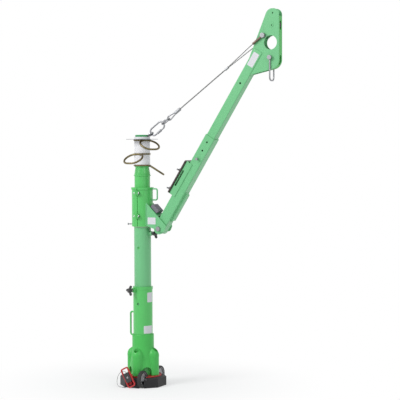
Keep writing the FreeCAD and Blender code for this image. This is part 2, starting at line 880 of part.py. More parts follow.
def collar_gussets():
    """Two three-cornered side plates that carry the boom's pivot, shaped to the collar."""
    plates = []
    nose_x = pivot_x + gusset_nose_r / 2
    for side in (1, -1):
        y = gusset_inner_y if side > 0 else -gusset_outer_y
        wall_x = math.sqrt((collar_r + seat_gap) ** 2 - gusset_inner_y ** 2)
        corners = [
            point(wall_x - gusset_bury, y, gusset_heel_z),
            point(nose_x + gusset_nose_r / 2, y, gusset_bottom_z),
            point(nose_x + gusset_nose_r, y, pivot_z + gusset_nose_r / 2),
            point(wall_x - gusset_bury, y, gusset_top_z),
        ]
        plate = slab(corners, [0, gusset_nose_r / 2, gusset_nose_r / 2, 0], point(0, gusset_plate, 0))
        bore = rod(point(0, 0, gusset_bottom_z - cut_over), Z_AXIS, collar_r + seat_gap, collar_top)
        side_on = point(pivot_x, y - cut_over, pivot_z)
        hole = rod(side_on, Y_AXIS, pivot_r + run_fit, gusset_plate + 2 * cut_over)
        plates.append(plate.cut(bore).cut(hole))
    return Part.makeCompound(plates)


def slant_frame():
    """Start and direction of the gussets' sloping upper edge."""
    wall_x = math.sqrt((collar_r + seat_gap) ** 2 - gusset_inner_y ** 2)
    start = point(wall_x - gusset_bury, 0, gusset_top_z)
    nose = point(pivot_x + gusset_nose_r * 3 / 2, 0, pivot_z + gusset_nose_r / 2)
    return start, (nose - start).normalize()


def cross_plate():
    """Web between the gussets, just under their sloping edge."""
    start, down = slant_frame()
    inward = down.cross(Y_AXIS)
    side = point(0, 2 * gusset_inner_y, 0)
    corner = start - side * 0.5
    corners = [
        corner + down * web_start,
        corner + down * web_end,
        corner + down * web_end - inward * web_plate,
        corner + down * web_start - inward * web_plate,
    ]
    return slab(corners, [0] * len(corners), side)


def stop_pad():
    """Soft stop block on the web, for the boom when it is folded up."""
    start, down = slant_frame()
    inward = down.cross(Y_AXIS)
    half = point(0, gusset_inner_y - pad_edge, 0)
    corner = start - half + down * web_start
    corners = [
        corner,
        corner + down * pad_length,
        corner + down * pad_length + inward * pad_height,
        corner + inward * pad_height,
    ]
    return slab(corners, [0, 0, pad_edge, pad_edge], half * 2)


def carry_handle():
    wall = collar_r + seat_gap
    rim = collar_rim_r + seat_gap
    corners = [
        point(rim, 0, handle_high_z),
        point(handle_reach, 0, handle_high_z),
        point(handle_reach, 0, handle_low_z),
        point(wall, 0, handle_low_z),
    ]
    return bent_rod(corners, handle_bend, handle_rod_r)


def collar_pin():
    out = polar(1, collar_pin_angle, 0)
    start = polar(collar_r - collar_pin_bite, collar_pin_angle, collar_pin_z)
    shank = rod(start, out, collar_pin_r, collar_pin_bite + collar_pin_out)
    head = rod(start + out * (collar_pin_bite + collar_pin_out), out, collar_pin_head_r, collar_pin_head)
    return joined([shank, head])


def pivot_bolt():
    near = point(pivot_x, -gusset_outer_y, pivot_z)
    far = point(pivot_x, gusset_outer_y, pivot_z)
    shank = rod(near, Y_AXIS, pivot_r, 2 * gusset_outer_y)
    head = hexagon_head(near, Y_AXIS * -1, pivot_flats, pivot_head)
    nut = hexagon_head(far, Y_AXIS, pivot_flats, pivot_head)
    return joined([shank, head, nut])


def square_tube(start, end, side, corner, wall):
    """Square tube along the boom with rounded corners outside and in."""
    solids = []
    for half, radius in ((side / 2, corner), (side / 2 - wall, max(corner - wall, wall / 4))):
        origin = boom_point(start)
        spots = [(half, half), (half, -half), (-half, -half), (-half, half)]
        corners = [origin + BOOM_UP * up + Y_AXIS * out for up, out in spots]
        solids.append(slab(corners, [radius] * 4, BOOM_ALONG * (end - start)))
    return solids


def adjust_places(steps):
    return [adjust_first + adjust_pitch * step for step in steps]


def boom_outer():
    half = boom_outer_side / 2
    outer, inner = square_tube(-boom_foot_past, boom_outer_length, boom_outer_side, boom_outer_corner,
                               boom_outer_wall)
    body = outer.cut(inner)
    foot_corners = [boom_point(-boom_foot_past - cut_over, up, -boom_outer_side) for up in (half, -half)]
    foot_corners += [boom_point(0, up, -boom_outer_side) for up in (-half, half)]
    round_foot = slab(foot_corners, [0] * len(foot_corners), point(0, 2 * boom_outer_side, 0))
    keep = rod(point(pivot_x, -boom_outer_side, pivot_z), Y_AXIS, half, 2 * boom_outer_side)
    body = body.cut(round_foot.cut(keep))
    boss = rod(point(pivot_x, -half, pivot_z), Y_AXIS, pivot_tube_r, boom_outer_side)
    body = body.fuse(boss).removeSplitter()
    beside = point(pivot_x, -boom_outer_side, pivot_z)
    body = body.cut(rod(beside, Y_AXIS, pivot_r + run_fit, 2 * boom_outer_side))
    for place in adjust_places(range(adjust_count)):
        body = body.cut(rod(boom_point(place, 0, -boom_outer_side), Y_AXIS, adjust_r, 2 * boom_outer_side))
    return body


def boom_rail():
    """Plain guide rail under the boom, with sloped ends."""
    face = -boom_outer_side / 2
    corners = [
        boom_point(rail_start, face, -rail_width / 2),
        boom_point(rail_end, face, -rail_width / 2),
        boom_point(rail_end - rail_out, face - rail_out, -rail_width / 2),
        boom_point(rail_start + rail_out, face - rail_out, -rail_width / 2),
    ]
    return slab(corners, [0, 0, rail_edge, rail_edge], point(0, rail_width, 0))


def lock_pin():
    """Pull pin in the boom's outer wall, drawn back clear of the inner tube."""
    wall = -boom_outer_side / 2
    tip = boom_point(adjust_first, 0, wall + boom_outer_wall)
    out = Y_AXIS * -1
    shank = rod(tip, out, adjust_r - run_fit, lock_pin_length)
    head = rod(tip + out * lock_pin_length, out, lock_pin_head_r, lock_pin_head)
    return joined([shank, head])


def winch_bracket():
    """Channel saddle: two side flanges on the boom's sides and a raised top."""
    half = boom_outer_side / 2
    wide = half + bracket_wall
    length = BOOM_ALONG * (bracket_end - bracket_start)
    low = half - bracket_lap
    high = half + bracket_rise
    spots = [
        (low, -wide), (high, -wide), (high, wide), (low, wide),
        (low, half), (high - bracket_wall, half), (high - bracket_wall, -half), (low, -half),
    ]
    corners = [boom_point(bracket_start, up, side) for up, side in spots]
    radii = [0, bracket_wall, bracket_wall, 0, 0, 0, 0, 0]
    body = slab(corners, radii, length)
    middle = (bracket_start + bracket_end) / 2
    rise = half + (bracket_rise - bracket_wall) / 2
    spots = [(-1, -1), (1, -1), (1, 1), (-1, 1)]
    long_half = bracket_window_length / 2
    high_half = bracket_window_height / 2
    corners = [boom_point(middle + a * long_half, rise + u * high_half, -wide * 2) for a, u in spots]
    window = slab(corners, [bracket_window_height / 4] * 4, point(0, 4 * wide, 0))
    body = body.cut(window)
    for place in wing_places:
        hole_r = wing_screw_r + seat_gap
        body = body.cut(rod(boom_point(place, half), BOOM_UP, hole_r, bracket_rise + cut_over))
    return body.cut(winch_holes(high - bracket_wall, bracket_wall))


def winch_holes(level, depth):
    """Square pattern of four bolt holes across the boom, from below the given level."""
    middle = (bracket_start + bracket_end) / 2
    half = winch_hole_pitch / 2
    holes = []
    for along, side in ((-half, -half), (half, -half), (half, half), (-half, half)):
        start = boom_point(middle + along, level - cut_over, side)
        holes.append(rod(start, BOOM_UP, winch_hole_r, depth + 2 * cut_over))
    return holes


def winch_plate():
    """Flat plate that a winch bolts to, with its four bolt holes."""
    wide = boom_outer_side / 2 + bracket_wall + winch_plate_over
    level = boom_outer_side / 2 + bracket_rise
    spots = [(bracket_start, -wide), (bracket_end, -wide), (bracket_end, wide), (bracket_start, wide)]
    corners = [boom_point(place, level, side) for place, side in spots]
    plate = slab(corners, [winch_plate_over] * 4, BOOM_UP * winch_plate_height)
    plate = plate.cut(winch_holes(level, winch_plate_height))
    for place in wing_places:
        start = boom_point(place, level - cut_over)
        plate = plate.cut(rod(start, BOOM_UP, wing_screw_r + run_fit, winch_plate_height + 2 * cut_over))
    return plate


def wing_screw(index):
    """Clamp screw with a washer, a hub and two round wings."""
    level = boom_outer_side / 2 + bracket_rise + winch_plate_height
    foot = boom_point(wing_places[index], boom_outer_side / 2 + bracket_wall)
    top = boom_point(wing_places[index], level)
    pieces = [
        rod(foot, BOOM_UP, wing_screw_r, (top - foot).Length + wing_screw_out),
        rod(top, BOOM_UP, wing_washer_r, wing_washer_height),
        rod(top + BOOM_UP * (wing_screw_out - wing_hub_height), BOOM_UP, wing_hub_r, wing_hub_height),
    ]
    root = top + BOOM_UP * (wing_screw_out - wing_hub_height / 2)
    for side in (1, -1):
        wing = (Y_AXIS * side + BOOM_UP * wing_rise_share).normalize()
        pieces.append(rod(root, wing, wing_lobe_r * wing_arm_share, wing_span))
        pieces.append(Part.makeSphere(wing_lobe_r, root + wing * wing_span))
    return joined(pieces)


def boom_inner():
    """Inner boom tube, slotted at its end for the head's side plates."""
    outer, inner = square_tube(boom_inner_start, boom_length, boom_inner_side, boom_inner_corner,
                               boom_inner_wall)
    body = outer.cut(inner)
    steps = list(range(adjust_count)) + [adjust_count - 1 + adjust_inner_steps]
    for place in adjust_places(steps):
        body = body.cut(rod(boom_point(place, 0, -boom_outer_side), Y_AXIS, adjust_r, 2 * boom_outer_side))
    slot = head_plate + 2 * seat_gap
    for side in (1, -1):
        middle = side * (head_inner_y + head_outer_y) / 2
        for up, start in ((1, head_cheek_start), (-1, head_tang)):
            spots = [(start, 0), (-cut_over, 0), (-cut_over, up), (start, up)]
            corners = [boom_point(boom_length - back, rise * boom_inner_side, middle - slot / 2)
                       for back, rise in spots]
            body = body.cut(slab(corners, [0] * len(corners), point(0, slot, 0)))
    return body


def head_point(x, z, y):
    return point(head_x + x, y, head_z + z)


def head_outline(y):
    """Tear-drop outline: tang in the tube, straight back, round crown, upright front and round heel."""
    half = boom_inner_side / 2 - boom_inner_wall - head_tang_clear
    heel_z = -head_drop
    heel_back = boom_point(boom_length - head_tang + head_tang_clear, -boom_inner_side / 2, y)
    heel_back_z = head_z + heel_z - (head_x + head_reach - heel_back.x) * head_heel_slope_share
    corners = [
        boom_point(boom_length - head_tang, -half, y),
        boom_point(boom_length - head_tang, half, y),
        boom_point(boom_length - head_cheek_start, half, y),
        head_point(head_reach - head_crown, head_rise, y),
        head_point(head_reach, head_rise, y),
        head_point(head_reach, heel_z, y),
        point(heel_back.x, y, heel_back_z),
    ]
    return corners, [0, 0, 0, head_crown_r, head_brow_r, head_heel_r, 0]


def head_plate_side(side):
    y = head_inner_y if side > 0 else -head_outer_y
    corners, radii = head_outline(y)
    plate = slab(corners, radii, point(0, head_plate, 0))
    holes = [
        (upper_axle_x, upper_axle_z, axle_bolt_r + run_fit),
        (lower_axle_x, lower_axle_z, axle_bolt_r + run_fit),
        (head_spacer_x, head_spacer_z, crown_bore_r),
        (tie_bolt_x, tie_bolt_z, tie_bolt_r + run_fit),
        (head_hole_x, head_hole_z, head_hole_r),
    ]
    for x, z, radius in holes:
        plate = plate.cut(rod(head_point(x, z, y - cut_over), Y_AXIS, radius, head_plate + 2 * cut_over))
    return plate


def head_front():
    """Rope guard between the side plates: a strip down the front and round the heel, with two rope slots."""
    outline = head_outline(-head_inner_y)[0]
    heel = outline[5]
    along = (outline[6] - heel).normalize()
    inward = Y_AXIS.cross(along)
    inner_heel = heel + (Z_AXIS + along).normalize() * (front_plate / math.sin(Z_AXIS.getAngle(along) / 2))
    end = heel + along * front_heel_run
    corners = [
        head_point(head_reach, front_top, -head_inner_y),
        heel,
        end,
        end + inward * front_plate,
        inner_heel,
        head_point(head_reach - front_plate, front_top, -head_inner_y),
    ]
    strip = slab(corners, [0, head_heel_r, 0, 0, head_heel_r - front_plate, 0], point(0, 2 * head_inner_y, 0))
    upper = rope_slot(upper_axle_z + front_slot_length / 2, front_slot_length)
    return strip.cut(upper).cut(rope_slot(heel_slot_top, heel_slot_length))


def rope_slot(top, length):
    """Round-ended slot along the front of the head, a little wider than a sheave."""
    half = sheave_width / 2 + front_slot_gap
    back = head_reach - head_heel_r
    spots = [(-half, top), (half, top), (half, top - length), (-half, top - length)]
    corners = [head_point(back, z, y) for y, z in spots]
    return slab(corners, [half - run_fit] * len(corners), point(head_heel_r + cut_over, 0, 0))


def through_bolt(x, z, reach, radius, head_r, head):
    """Round-headed bolt across both side plates."""
    shank = rod(head_point(x, z, -reach), Y_AXIS, radius, 2 * reach)
    near = rod(head_point(x, z, -reach - head), Y_AXIS, head_r, head)
    far = rod(head_point(x, z, reach), Y_AXIS, head_r, head)
    return joined([shank, near, far])


def bail_outer_y():
    return head_outer_y + 2 * side_gap + bail_eye_width


def head_bolts():
    """Hollow upper axle, lower axle bolt, and the spacer tube at the crown."""
    upper = through_bolt(upper_axle_x, upper_axle_z, head_outer_y, axle_bolt_r, axle_cap_r, axle_cap)
    beside = head_point(upper_axle_x, upper_axle_z, -boom_outer_side)
    bore = rod(beside, Y_AXIS, axle_bore_r, 2 * boom_outer_side)
    lower = through_bolt(lower_axle_x, lower_axle_z, bail_outer_y(), axle_bolt_r, axle_head_r, axle_head)
    half = head_inner_y - seat_gap
    crown = head_point(head_spacer_x, head_spacer_z, -half)
    spacer = pipe(crown, Y_AXIS, spacer_tube_r, crown_bore_r, 2 * half)
    return Part.makeCompound([upper.cut(bore), lower, spacer])


def end_eye_y():
    return head_outer_y + side_gap + end_eye_width / 2


def tie_bolt():
    reach = end_eye_y() + end_eye_width / 2 + side_gap
    bolt = through_bolt(tie_bolt_x, tie_bolt_z, reach, tie_bolt_r, end_eye_r - side_gap * 4, axle_head)
    half = head_inner_y - seat_gap
    spacer = rod(head_point(tie_bolt_x, tie_bolt_z, -half), Y_AXIS, spacer_tube_r, 2 * half)
    return joined([bolt, spacer])


def sheave(x, z, rim_r):
    """Grooved rope wheel with a thin web and a wide hub."""
    half = sheave_width / 2
    web = half * sheave_web_share
    groove_z = sheave_groove_r * math.sin(math.pi / 4)
    rim_in = rim_r - 2 * sheave_groove_r
    hub_half = head_inner_y - side_gap
    profile = [
        (axle_bolt_r + run_fit, -hub_half),
        (sheave_hub_r, -hub_half),
        (sheave_hub_r, -web),
        (rim_in, -web),
        (rim_in, -half),
        (rim_r, -half),
        (rim_r, -sheave_groove_r, (rim_r - sheave_groove_r, 0)),
        (rim_r, sheave_groove_r),
        (rim_r, half),
        (rim_in, half),
        (rim_in, web),
        (sheave_hub_r, web),
        (sheave_hub_r, hub_half),
        (axle_bolt_r + run_fit, hub_half),
    ]
    return spun(profile, head_point(x, z, 0), Y_AXIS)


def hoist_bail():
    """U-shaped rod with an eye on each end, hung outside the side plates."""
    y = head_outer_y + side_gap + bail_eye_width / 2
    eyes = []
    top = [head_point(lower_axle_x, lower_axle_z, side * y) for side in (-1, 1)]
    for eye in top:
        start = eye - Y_AXIS * (bail_eye_width / 2)
        eyes.append(rod(start, Y_AXIS, bail_eye_r, bail_eye_width))
    down = point(0, 0, -bail_drop)
    bow = bent_rod([top[0], top[0] + down, top[1] + down, top[1]], bail_bend, bail_rod_r)
    body = joined([bow] + eyes)
    start = head_point(lower_axle_x, lower_axle_z, -boom_outer_side)
    body = body.cut(rod(start, Y_AXIS, axle_bolt_r + run_fit, 2 * boom_outer_side))
    inside = 2 * (head_outer_y + side_gap)
    low = head_point(lower_axle_x - bail_eye_r * 2, lower_axle_z - bail_eye_r * 2, -inside / 2)
    return body.cut(Part.makeBox(bail_eye_r * 4, inside, bail_eye_r * 4, low))


def tie_point(along, up=0.0, side=0.0):
    """Point by its distance along the tie-back from the eye, up across it, and sideways."""
    return TIE_START + TIE_ALONG * along + TIE_UP * up + Y_AXIS * side


def tie_eye():
    """Eye bolt in the top cap, pointing along the tie-back."""
    loop = Part.makeTorus(eye_loop_r, eye_bar_r, eye_centre(), TIE_UP)
    shank = rod(eye_shank_end(), X_AXIS * -1, eye_shank_r, cap_r)
    hole = rod(eye_centre() - TIE_UP * eye_loop_r, TIE_UP, eye_loop_r - eye_bar_r, 2 * eye_loop_r)
    return joined([loop, shank]).cut(hole)


def gate_span():
    """Start and end of the gate along the tie-back, between the centres of its round ends."""
    return carabiner_bow_r, carabiner_length - carabiner_bow_r


def carabiner():
    """Oval snap hook of round bar: spine and two bows, open on the gate side."""
    straight = carabiner_length - 2 * carabiner_bow_r
    centre = tie_point(carabiner_length / 2)
    body = stadium_link(centre, TIE_ALONG, TIE_UP, straight, carabiner_bow_r, carabiner_bar_r)
    low, high = gate_span()
    start = tie_point(low - gate_bar_r - gate_gap, -carabiner_bow_r)
    wide = gate_sleeve_r
    return body.cut(rod(start, TIE_ALONG, wide, high - low + 2 * (gate_bar_r + gate_gap)))


def carabiner_gate():
    low, high = gate_span()
    start = tie_point(low, -carabiner_bow_r)
    end = tie_point(high, -carabiner_bow_r)
    sleeve = (high - low) * gate_sleeve_share
    pieces = [
        rod(start, TIE_ALONG, gate_bar_r, high - low),
        rod(start - Y_AXIS * (gate_knuckle_width / 2), Y_AXIS, gate_knuckle_r, gate_knuckle_width),
        Part.makeSphere(gate_bar_r, end),
        rod(tie_point((low + high - sleeve) / 2, -carabiner_bow_r), TIE_ALONG, gate_sleeve_r, sleeve),
    ]
    return joined(pieces)


def link_start():
    return carabiner_length - carabiner_bar_r - link_bar_r - link_gap


def quick_link():
    """Screw link, a quarter turn from the hook, with its hexagon nut on one side."""
    straight = link_length - 2 * link_bow_r
    centre = tie_point(link_start() + link_length / 2)
    body = stadium_link(centre, TIE_ALONG, Y_AXIS, straight, link_bow_r, link_bar_r)
    length = straight * link_nut_share
    seat = centre - TIE_ALONG * (length / 2) - Y_AXIS * link_bow_r
    return joined([body, hexagon_head(seat, TIE_ALONG, 2 * link_nut_r, length)])


def thimble_start():
    return link_start() + link_length - link_bar_r - thimble_bar_r - link_gap


def thimble():
    """Tear-drop eye that the rope turns round."""
    start = thimble_start()
    tip = start + thimble_length
    corners = [
        tie_point(tip, thimble_bar_r + side_gap),
        tie_point(start, thimble_bow_r),
        tie_point(start, -thimble_bow_r),
        tie_point(tip, -thimble_bar_r - side_gap),
    ]
    return bent_rod(corners, thimble_bow_r * thimble_bend_share, thimble_bar_r)


def ferrule_start():
    return thimble_start() + thimble_length + thimble_gap


def tie_rope(side, radius):
    """One leg of the tie-back: beside the other as far as the crimp, then out to its swaged end."""
    start = ferrule_start() + ferrule_length
    stop = TIE_LENGTH - end_eye_r - swage_length
    fork = start + (stop - start) * crimp_share
    corners = [
        tie_point(start + rope_end_gap, 0, side * rope_spread),
        tie_point(fork, 0, side * rope_spread),
        tie_point(stop - rope_end_gap, 0, side * end_eye_y()),
    ]
    return bent_rod(corners, crimp_length, radius)


def rope_crimp():
    """Round sleeve where the two legs part."""
    start = ferrule_start() + ferrule_length
    stop = TIE_LENGTH - end_eye_r - swage_length
    fork = start + (stop - start) * crimp_share
    sleeve = rod(tie_point(fork - crimp_length / 2), TIE_ALONG, crimp_r, crimp_length)
    return sleeve.cut([tie_rope(side, rope_r + seat_gap) for side in (1, -1)])


def rope_fittings():
    """Ferrule at the thimble, the crimp at the fork, and the swaged eye at the end of each leg."""
    fittings = [rod(tie_point(ferrule_start()), TIE_ALONG, ferrule_r, ferrule_length), rope_crimp()]
    for side in (1, -1):
        centre = tie_point(TIE_LENGTH, 0, side * end_eye_y())
        edge = centre - Y_AXIS * (end_eye_width / 2)
        flat = rod(edge, Y_AXIS, end_eye_r, end_eye_width)
        mouth = centre - TIE_ALONG * (end_eye_r + swage_length)
        swage = rod(mouth, TIE_ALONG, swage_r, swage_length + swage_r)
        hole = rod(edge - Y_AXIS * cut_over, Y_AXIS, tie_bolt_r + end_eye_slack, end_eye_width + 2 * cut_over)
        fittings.append(joined([flat, swage]).cut(hole))
    return Part.makeCompound(fittings)


PEDAL_UP = point(-math.sin(math.radians(pedal_lean)), 0, math.cos(math.radians(pedal_lean)))
PEDAL_ACROSS = point(math.cos(math.radians(pedal_lean)), 0, math.sin(math.radians(pedal_lean)))


def pedal_centre():
    y = -block_across / 2 - pedal_block_depth - side_gap - pedal_grip_depth / 2
    return point(pedal_x, y, pedal_z)


def pedal_block():
    """Bracket on the base block's side, with the shaft that the pedal rocks on."""
    y = -block_across / 2
    half = pedal_block_width / 2
    corners = [
        point(pedal_x - half, y, pedal_block_low),
        point(pedal_x + half, y, pedal_block_low),
        point(pedal_x + half, y, pedal_block_top),
        point(pedal_x - half, y, pedal_block_top),
    ]
    block = slab(corners, [pedal_block_edge] * 4, point(0, -pedal_block_depth, 0))
    length = pedal_block_depth + side_gap + pedal_grip_depth
    return joined([block, rod(point(pedal_x, y, pedal_z), Y_AXIS * -1, pedal_shaft_r, length)])


def pedal_slab(length, width, corner_r, depth):
    """Rounded plate square to the pedal's shaft, centred on the pedal."""
    corners = []
    for up, across in ((-1, -1), (1, -1), (1, 1), (-1, 1)):
        corner = pedal_centre() + PEDAL_UP * (up * length / 2) + PEDAL_ACROSS * (across * width / 2)
        corners.append(corner - Y_AXIS * (depth / 2))
    return slab(corners, [corner_r] * len(corners), Y_AXIS * depth)


def rocker_pedal():
    """Rocker frame: a flat bar bent to a long loop, open above and below its hub."""
    outer = pedal_slab(pedal_length, pedal_width, pedal_corner_r, pedal_thickness)
    hollow = pedal_length - 2 * pedal_bar
    between = pedal_width - 2 * pedal_bar
    inner = pedal_slab(hollow, between, pedal_corner_r - pedal_bar, pedal_thickness + 2 * cut_over)
    return outer.cut(inner)


def pedal_hub():
    """Black block between the long bars of the frame, which turns on the shaft."""
    block = pedal_slab(pedal_grip_length, pedal_width - 2 * pedal_bar, pedal_grip_corner_r, pedal_grip_depth)
    start = pedal_centre() - Y_AXIS * pedal_grip_depth
    return block.cut(rod(start, Y_AXIS, pedal_shaft_r + run_fit, 2 * pedal_grip_depth))


def lanyard():
    """Thin wire loop from the base block down to the floor."""
    corners = [point(*place) for place in lanyard_route]
    radii = [0] * len(corners)
    for index in range(1, len(corners) - 1):
        back = corners[index - 1] - corners[index]
        on = corners[index + 1] - corners[index]
        half_turn = (math.pi - back.getAngle(on)) / 2
        radii[index] = lanyard_bend_share * min(back.Length, on.Length) / math.tan(half_turn)
    path = rounded_wire(corners, radii, False)
    heading = (corners[1] - corners[0]).normalize()
    section = Part.Wire(Part.makeCircle(lanyard_r, corners[0], heading))
    return path.makePipeShell([section], True, True)


def lanyard_pin():
    last = point(*lanyard_route[-1])
    heading = (last - point(*lanyard_route[-2])).normalize()
    return rod(last + heading * rope_end_gap, heading, lanyard_pin_r, lanyard_pin_length)


NODES = {
    "base_block": base_block(),
    "base_plate": base_plate(),
    "mast_foot": mast_foot(),
    "foot_bolts": foot_bolts(),
    "lower_mast": lower_mast(),
    "grab_handle": grab_handle(),
    "lower_knob": clamp_knob(lower_mast_r, main_mast_r + side_gap, lower_knob_angle, lower_knob_z),
    "wheel_axles": Part.makeCompound([wheel_axle(side) for side in (1, -1)]),
    "wheel_rim_near": wheel_rim(-1),
    "wheel_rim_far": wheel_rim(1),
    "wheel_tyre_near": wheel_tyre(-1),
    "wheel_tyre_far": wheel_tyre(1),
    "pedal_block": pedal_block(),
    "rocker_pedal": rocker_pedal(),
    "pedal_hub": pedal_hub(),
    "lanyard": lanyard(),
    "lanyard_pin": lanyard_pin(),
    "main_mast": main_mast(),
    "guide_bush": guide_bush(),
    "thrust_washer": thrust_washer(),
    "upper_knob": clamp_knob(main_mast_r, post_r + side_gap, 0, upper_knob_z),
    "anchor_post": anchor_post(),
    "ring_spacers": ring_spacers(),
    "retaining_disc": retaining_disc(),
    "top_cap": top_cap(),
    "tie_eye": tie_eye(),
    "anchor_ring_lower": anchor_ring(0),
    "anchor_ring_middle": anchor_ring(1),
    "anchor_ring_upper": anchor_ring(2),
    "collar_sleeve": collar_sleeve(),
    "collar_gussets": collar_gussets(),
    "cross_plate": cross_plate(),
    "stop_pad": stop_pad(),
    "carry_handle": carry_handle(),
    "clamp_bolts": clamp_bolts(),
    "collar_pin": collar_pin(),
    "pivot_bolt": pivot_bolt(),
    "boom_outer": boom_outer(),
    "boom_rail": boom_rail(),
    "lock_pin": lock_pin(),
    "winch_bracket": winch_bracket(),
    "winch_plate": winch_plate(),
    "wing_screw_lower": wing_screw(0),
    "wing_screw_upper": wing_screw(1),
    "boom_inner": boom_inner(),
    "head_plate_near": head_plate_side(-1),
    "head_plate_far": head_plate_side(1),
    "head_front": head_front(),
    "head_bolts": head_bolts(),
    "tie_bolt": tie_bolt(),
    "sheave_upper": sheave(upper_axle_x, upper_axle_z, upper_sheave_r),
    "sheave_lower": sheave(lower_axle_x, lower_axle_z, lower_sheave_r),
    "hoist_bail": hoist_bail(),
    "carabiner": carabiner(),
    "carabiner_gate": carabiner_gate(),
    "quick_link": quick_link(),
    "thimble": thimble(),
    "tie_rope_near": tie_rope(-1, rope_r),
    "tie_rope_far": tie_rope(1, rope_r),
    "rope_fittings": rope_fittings(),
}

os.makedirs("parts", exist_ok=True)
for name, shape in NODES.items():
    shape.exportStep("parts/" + name + ".step")
    print(name, shape.isValid(), len(shape.Solids), round(shape.Volume))
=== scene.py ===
import bpy
import math
from mathutils import Matrix, Vector


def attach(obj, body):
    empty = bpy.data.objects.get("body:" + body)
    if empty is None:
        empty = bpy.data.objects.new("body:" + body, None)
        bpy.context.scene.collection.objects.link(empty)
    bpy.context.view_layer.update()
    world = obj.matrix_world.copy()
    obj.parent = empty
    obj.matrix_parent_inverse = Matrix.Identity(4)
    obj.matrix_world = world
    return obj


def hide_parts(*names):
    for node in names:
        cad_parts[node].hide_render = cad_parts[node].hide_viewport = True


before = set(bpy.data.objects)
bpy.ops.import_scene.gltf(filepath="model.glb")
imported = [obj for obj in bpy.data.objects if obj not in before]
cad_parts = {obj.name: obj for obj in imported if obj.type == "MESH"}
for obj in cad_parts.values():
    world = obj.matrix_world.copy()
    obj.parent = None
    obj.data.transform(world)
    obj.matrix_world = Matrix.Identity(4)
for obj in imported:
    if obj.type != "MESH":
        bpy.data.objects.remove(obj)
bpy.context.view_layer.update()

# Studio: a white floor that runs into a white surround. The surround, a broad lamp on the left of
# the camera and a weaker one on the right light the crane evenly; the floor keeps a soft shadow.
scene = bpy.context.scene
scene.view_settings.view_transform = "Standard"
bpy.ops.object.select_all(action="DESELECT")
origin = (0.0, 0.0, 0.0)
upright = (0.0, 0.0, 1.0)
bpy.ops.mesh.primitive_plane_add(size=60.0, location=origin)
floor = bpy.context.object
floor.name = "studio_floor"
floor_paint = bpy.data.materials.new("studio_floor_white")
floor_paint.use_nodes = True
floor_shader = floor_paint.node_tree.nodes["Principled BSDF"]
floor_shader.inputs["Base Color"].default_value = (0.93, 0.93, 0.93, 1.0)
floor_shader.inputs["Roughness"].default_value = 0.9
floor_shader.inputs["Specular IOR Level"].default_value = 0.1
floor_nodes = floor_paint.node_tree.nodes
floor_links = floor_paint.node_tree.links
floor_white = floor_nodes.new("ShaderNodeEmission")
floor_white.inputs["Color"].default_value = (1.0, 1.0, 1.0, 1.0)
floor_white.inputs["Strength"].default_value = 1.0
floor_rays = floor_nodes.new("ShaderNodeLightPath")
floor_seen = floor_nodes.new("ShaderNodeMath")
floor_seen.operation = "ADD"
floor_share = floor_nodes.new("ShaderNodeMath")
floor_share.operation = "MULTIPLY_ADD"
floor_share.use_clamp = True
floor_place = floor_nodes.new("ShaderNodeTexCoord")
floor_reach = floor_nodes.new("ShaderNodeVectorMath")
floor_reach.operation = "LENGTH"
floor_fade = floor_nodes.new("ShaderNodeMapRange")
floor_fade.interpolation_type = "SMOOTHSTEP"
shadow_core = 0.15
shadow_end = 1.30
white_in_shadow = 0.55
floor_fade.inputs["From Min"].default_value = shadow_core
floor_fade.inputs["From Max"].default_value = shadow_end
floor_fade.inputs["To Min"].default_value = white_in_shadow
floor_mix = floor_nodes.new("ShaderNodeMixShader")
floor_links.new(floor_rays.outputs["Is Glossy Ray"], floor_seen.inputs[0])
floor_links.new(floor_rays.outputs["Is Transmission Ray"], floor_seen.inputs[1])
floor_links.new(floor_rays.outputs["Is Camera Ray"], floor_share.inputs[0])
floor_links.new(floor_place.outputs["Object"], floor_reach.inputs[0])
floor_links.new(floor_reach.outputs["Value"], floor_fade.inputs["Value"])
floor_links.new(floor_fade.outputs["Result"], floor_share.inputs[1])
floor_links.new(floor_seen.outputs[0], floor_share.inputs[2])
floor_links.new(floor_share.outputs[0], floor_mix.inputs["Fac"])
floor_links.new(floor_shader.outputs["BSDF"], floor_mix.inputs[1])
floor_links.new(floor_white.outputs["Emission"], floor_mix.inputs[2])
floor_links.new(floor_mix.outputs["Shader"], floor_nodes["Material Output"].inputs["Surface"])
floor.data.materials.append(floor_paint)

surround = bpy.data.worlds.new("studio_surround")
scene.world = surround
surround.use_nodes = True
sky_nodes = surround.node_tree.nodes
sky_links = surround.node_tree.links
sky_fill = sky_nodes["Background"]
sky_fill.inputs["Color"].default_value = (0.95, 0.97, 1.0, 1.0)
sky_fill.inputs["Strength"].default_value = 0.54
sky_seen = sky_nodes.new("ShaderNodeBackground")
sky_seen.inputs["Color"].default_value = (1.0, 1.0, 1.0, 1.0)
sky_seen.inputs["Strength"].default_value = 1.0
sky_rays = sky_nodes.new("ShaderNodeLightPath")
sky_direct = sky_nodes.new("ShaderNodeMath")
sky_direct.operation = "MAXIMUM"
sky_through = sky_nodes.new("ShaderNodeMath")
sky_through.operation = "MAXIMUM"
sky_links.new(sky_rays.outputs["Is Camera Ray"], sky_direct.inputs[0])
sky_links.new(sky_rays.outputs["Is Glossy Ray"], sky_direct.inputs[1])
sky_links.new(sky_direct.outputs[0], sky_through.inputs[0])
sky_links.new(sky_rays.outputs["Is Transmission Ray"], sky_through.inputs[1])
sky_mix = sky_nodes.new("ShaderNodeMixShader")
sky_links.new(sky_through.outputs[0], sky_mix.inputs["Fac"])
sky_links.new(sky_fill.outputs["Background"], sky_mix.inputs[1])
sky_links.new(sky_seen.outputs["Background"], sky_mix.inputs[2])
sky_links.new(sky_mix.outputs["Shader"], sky_nodes["World Output"].inputs["Surface"])


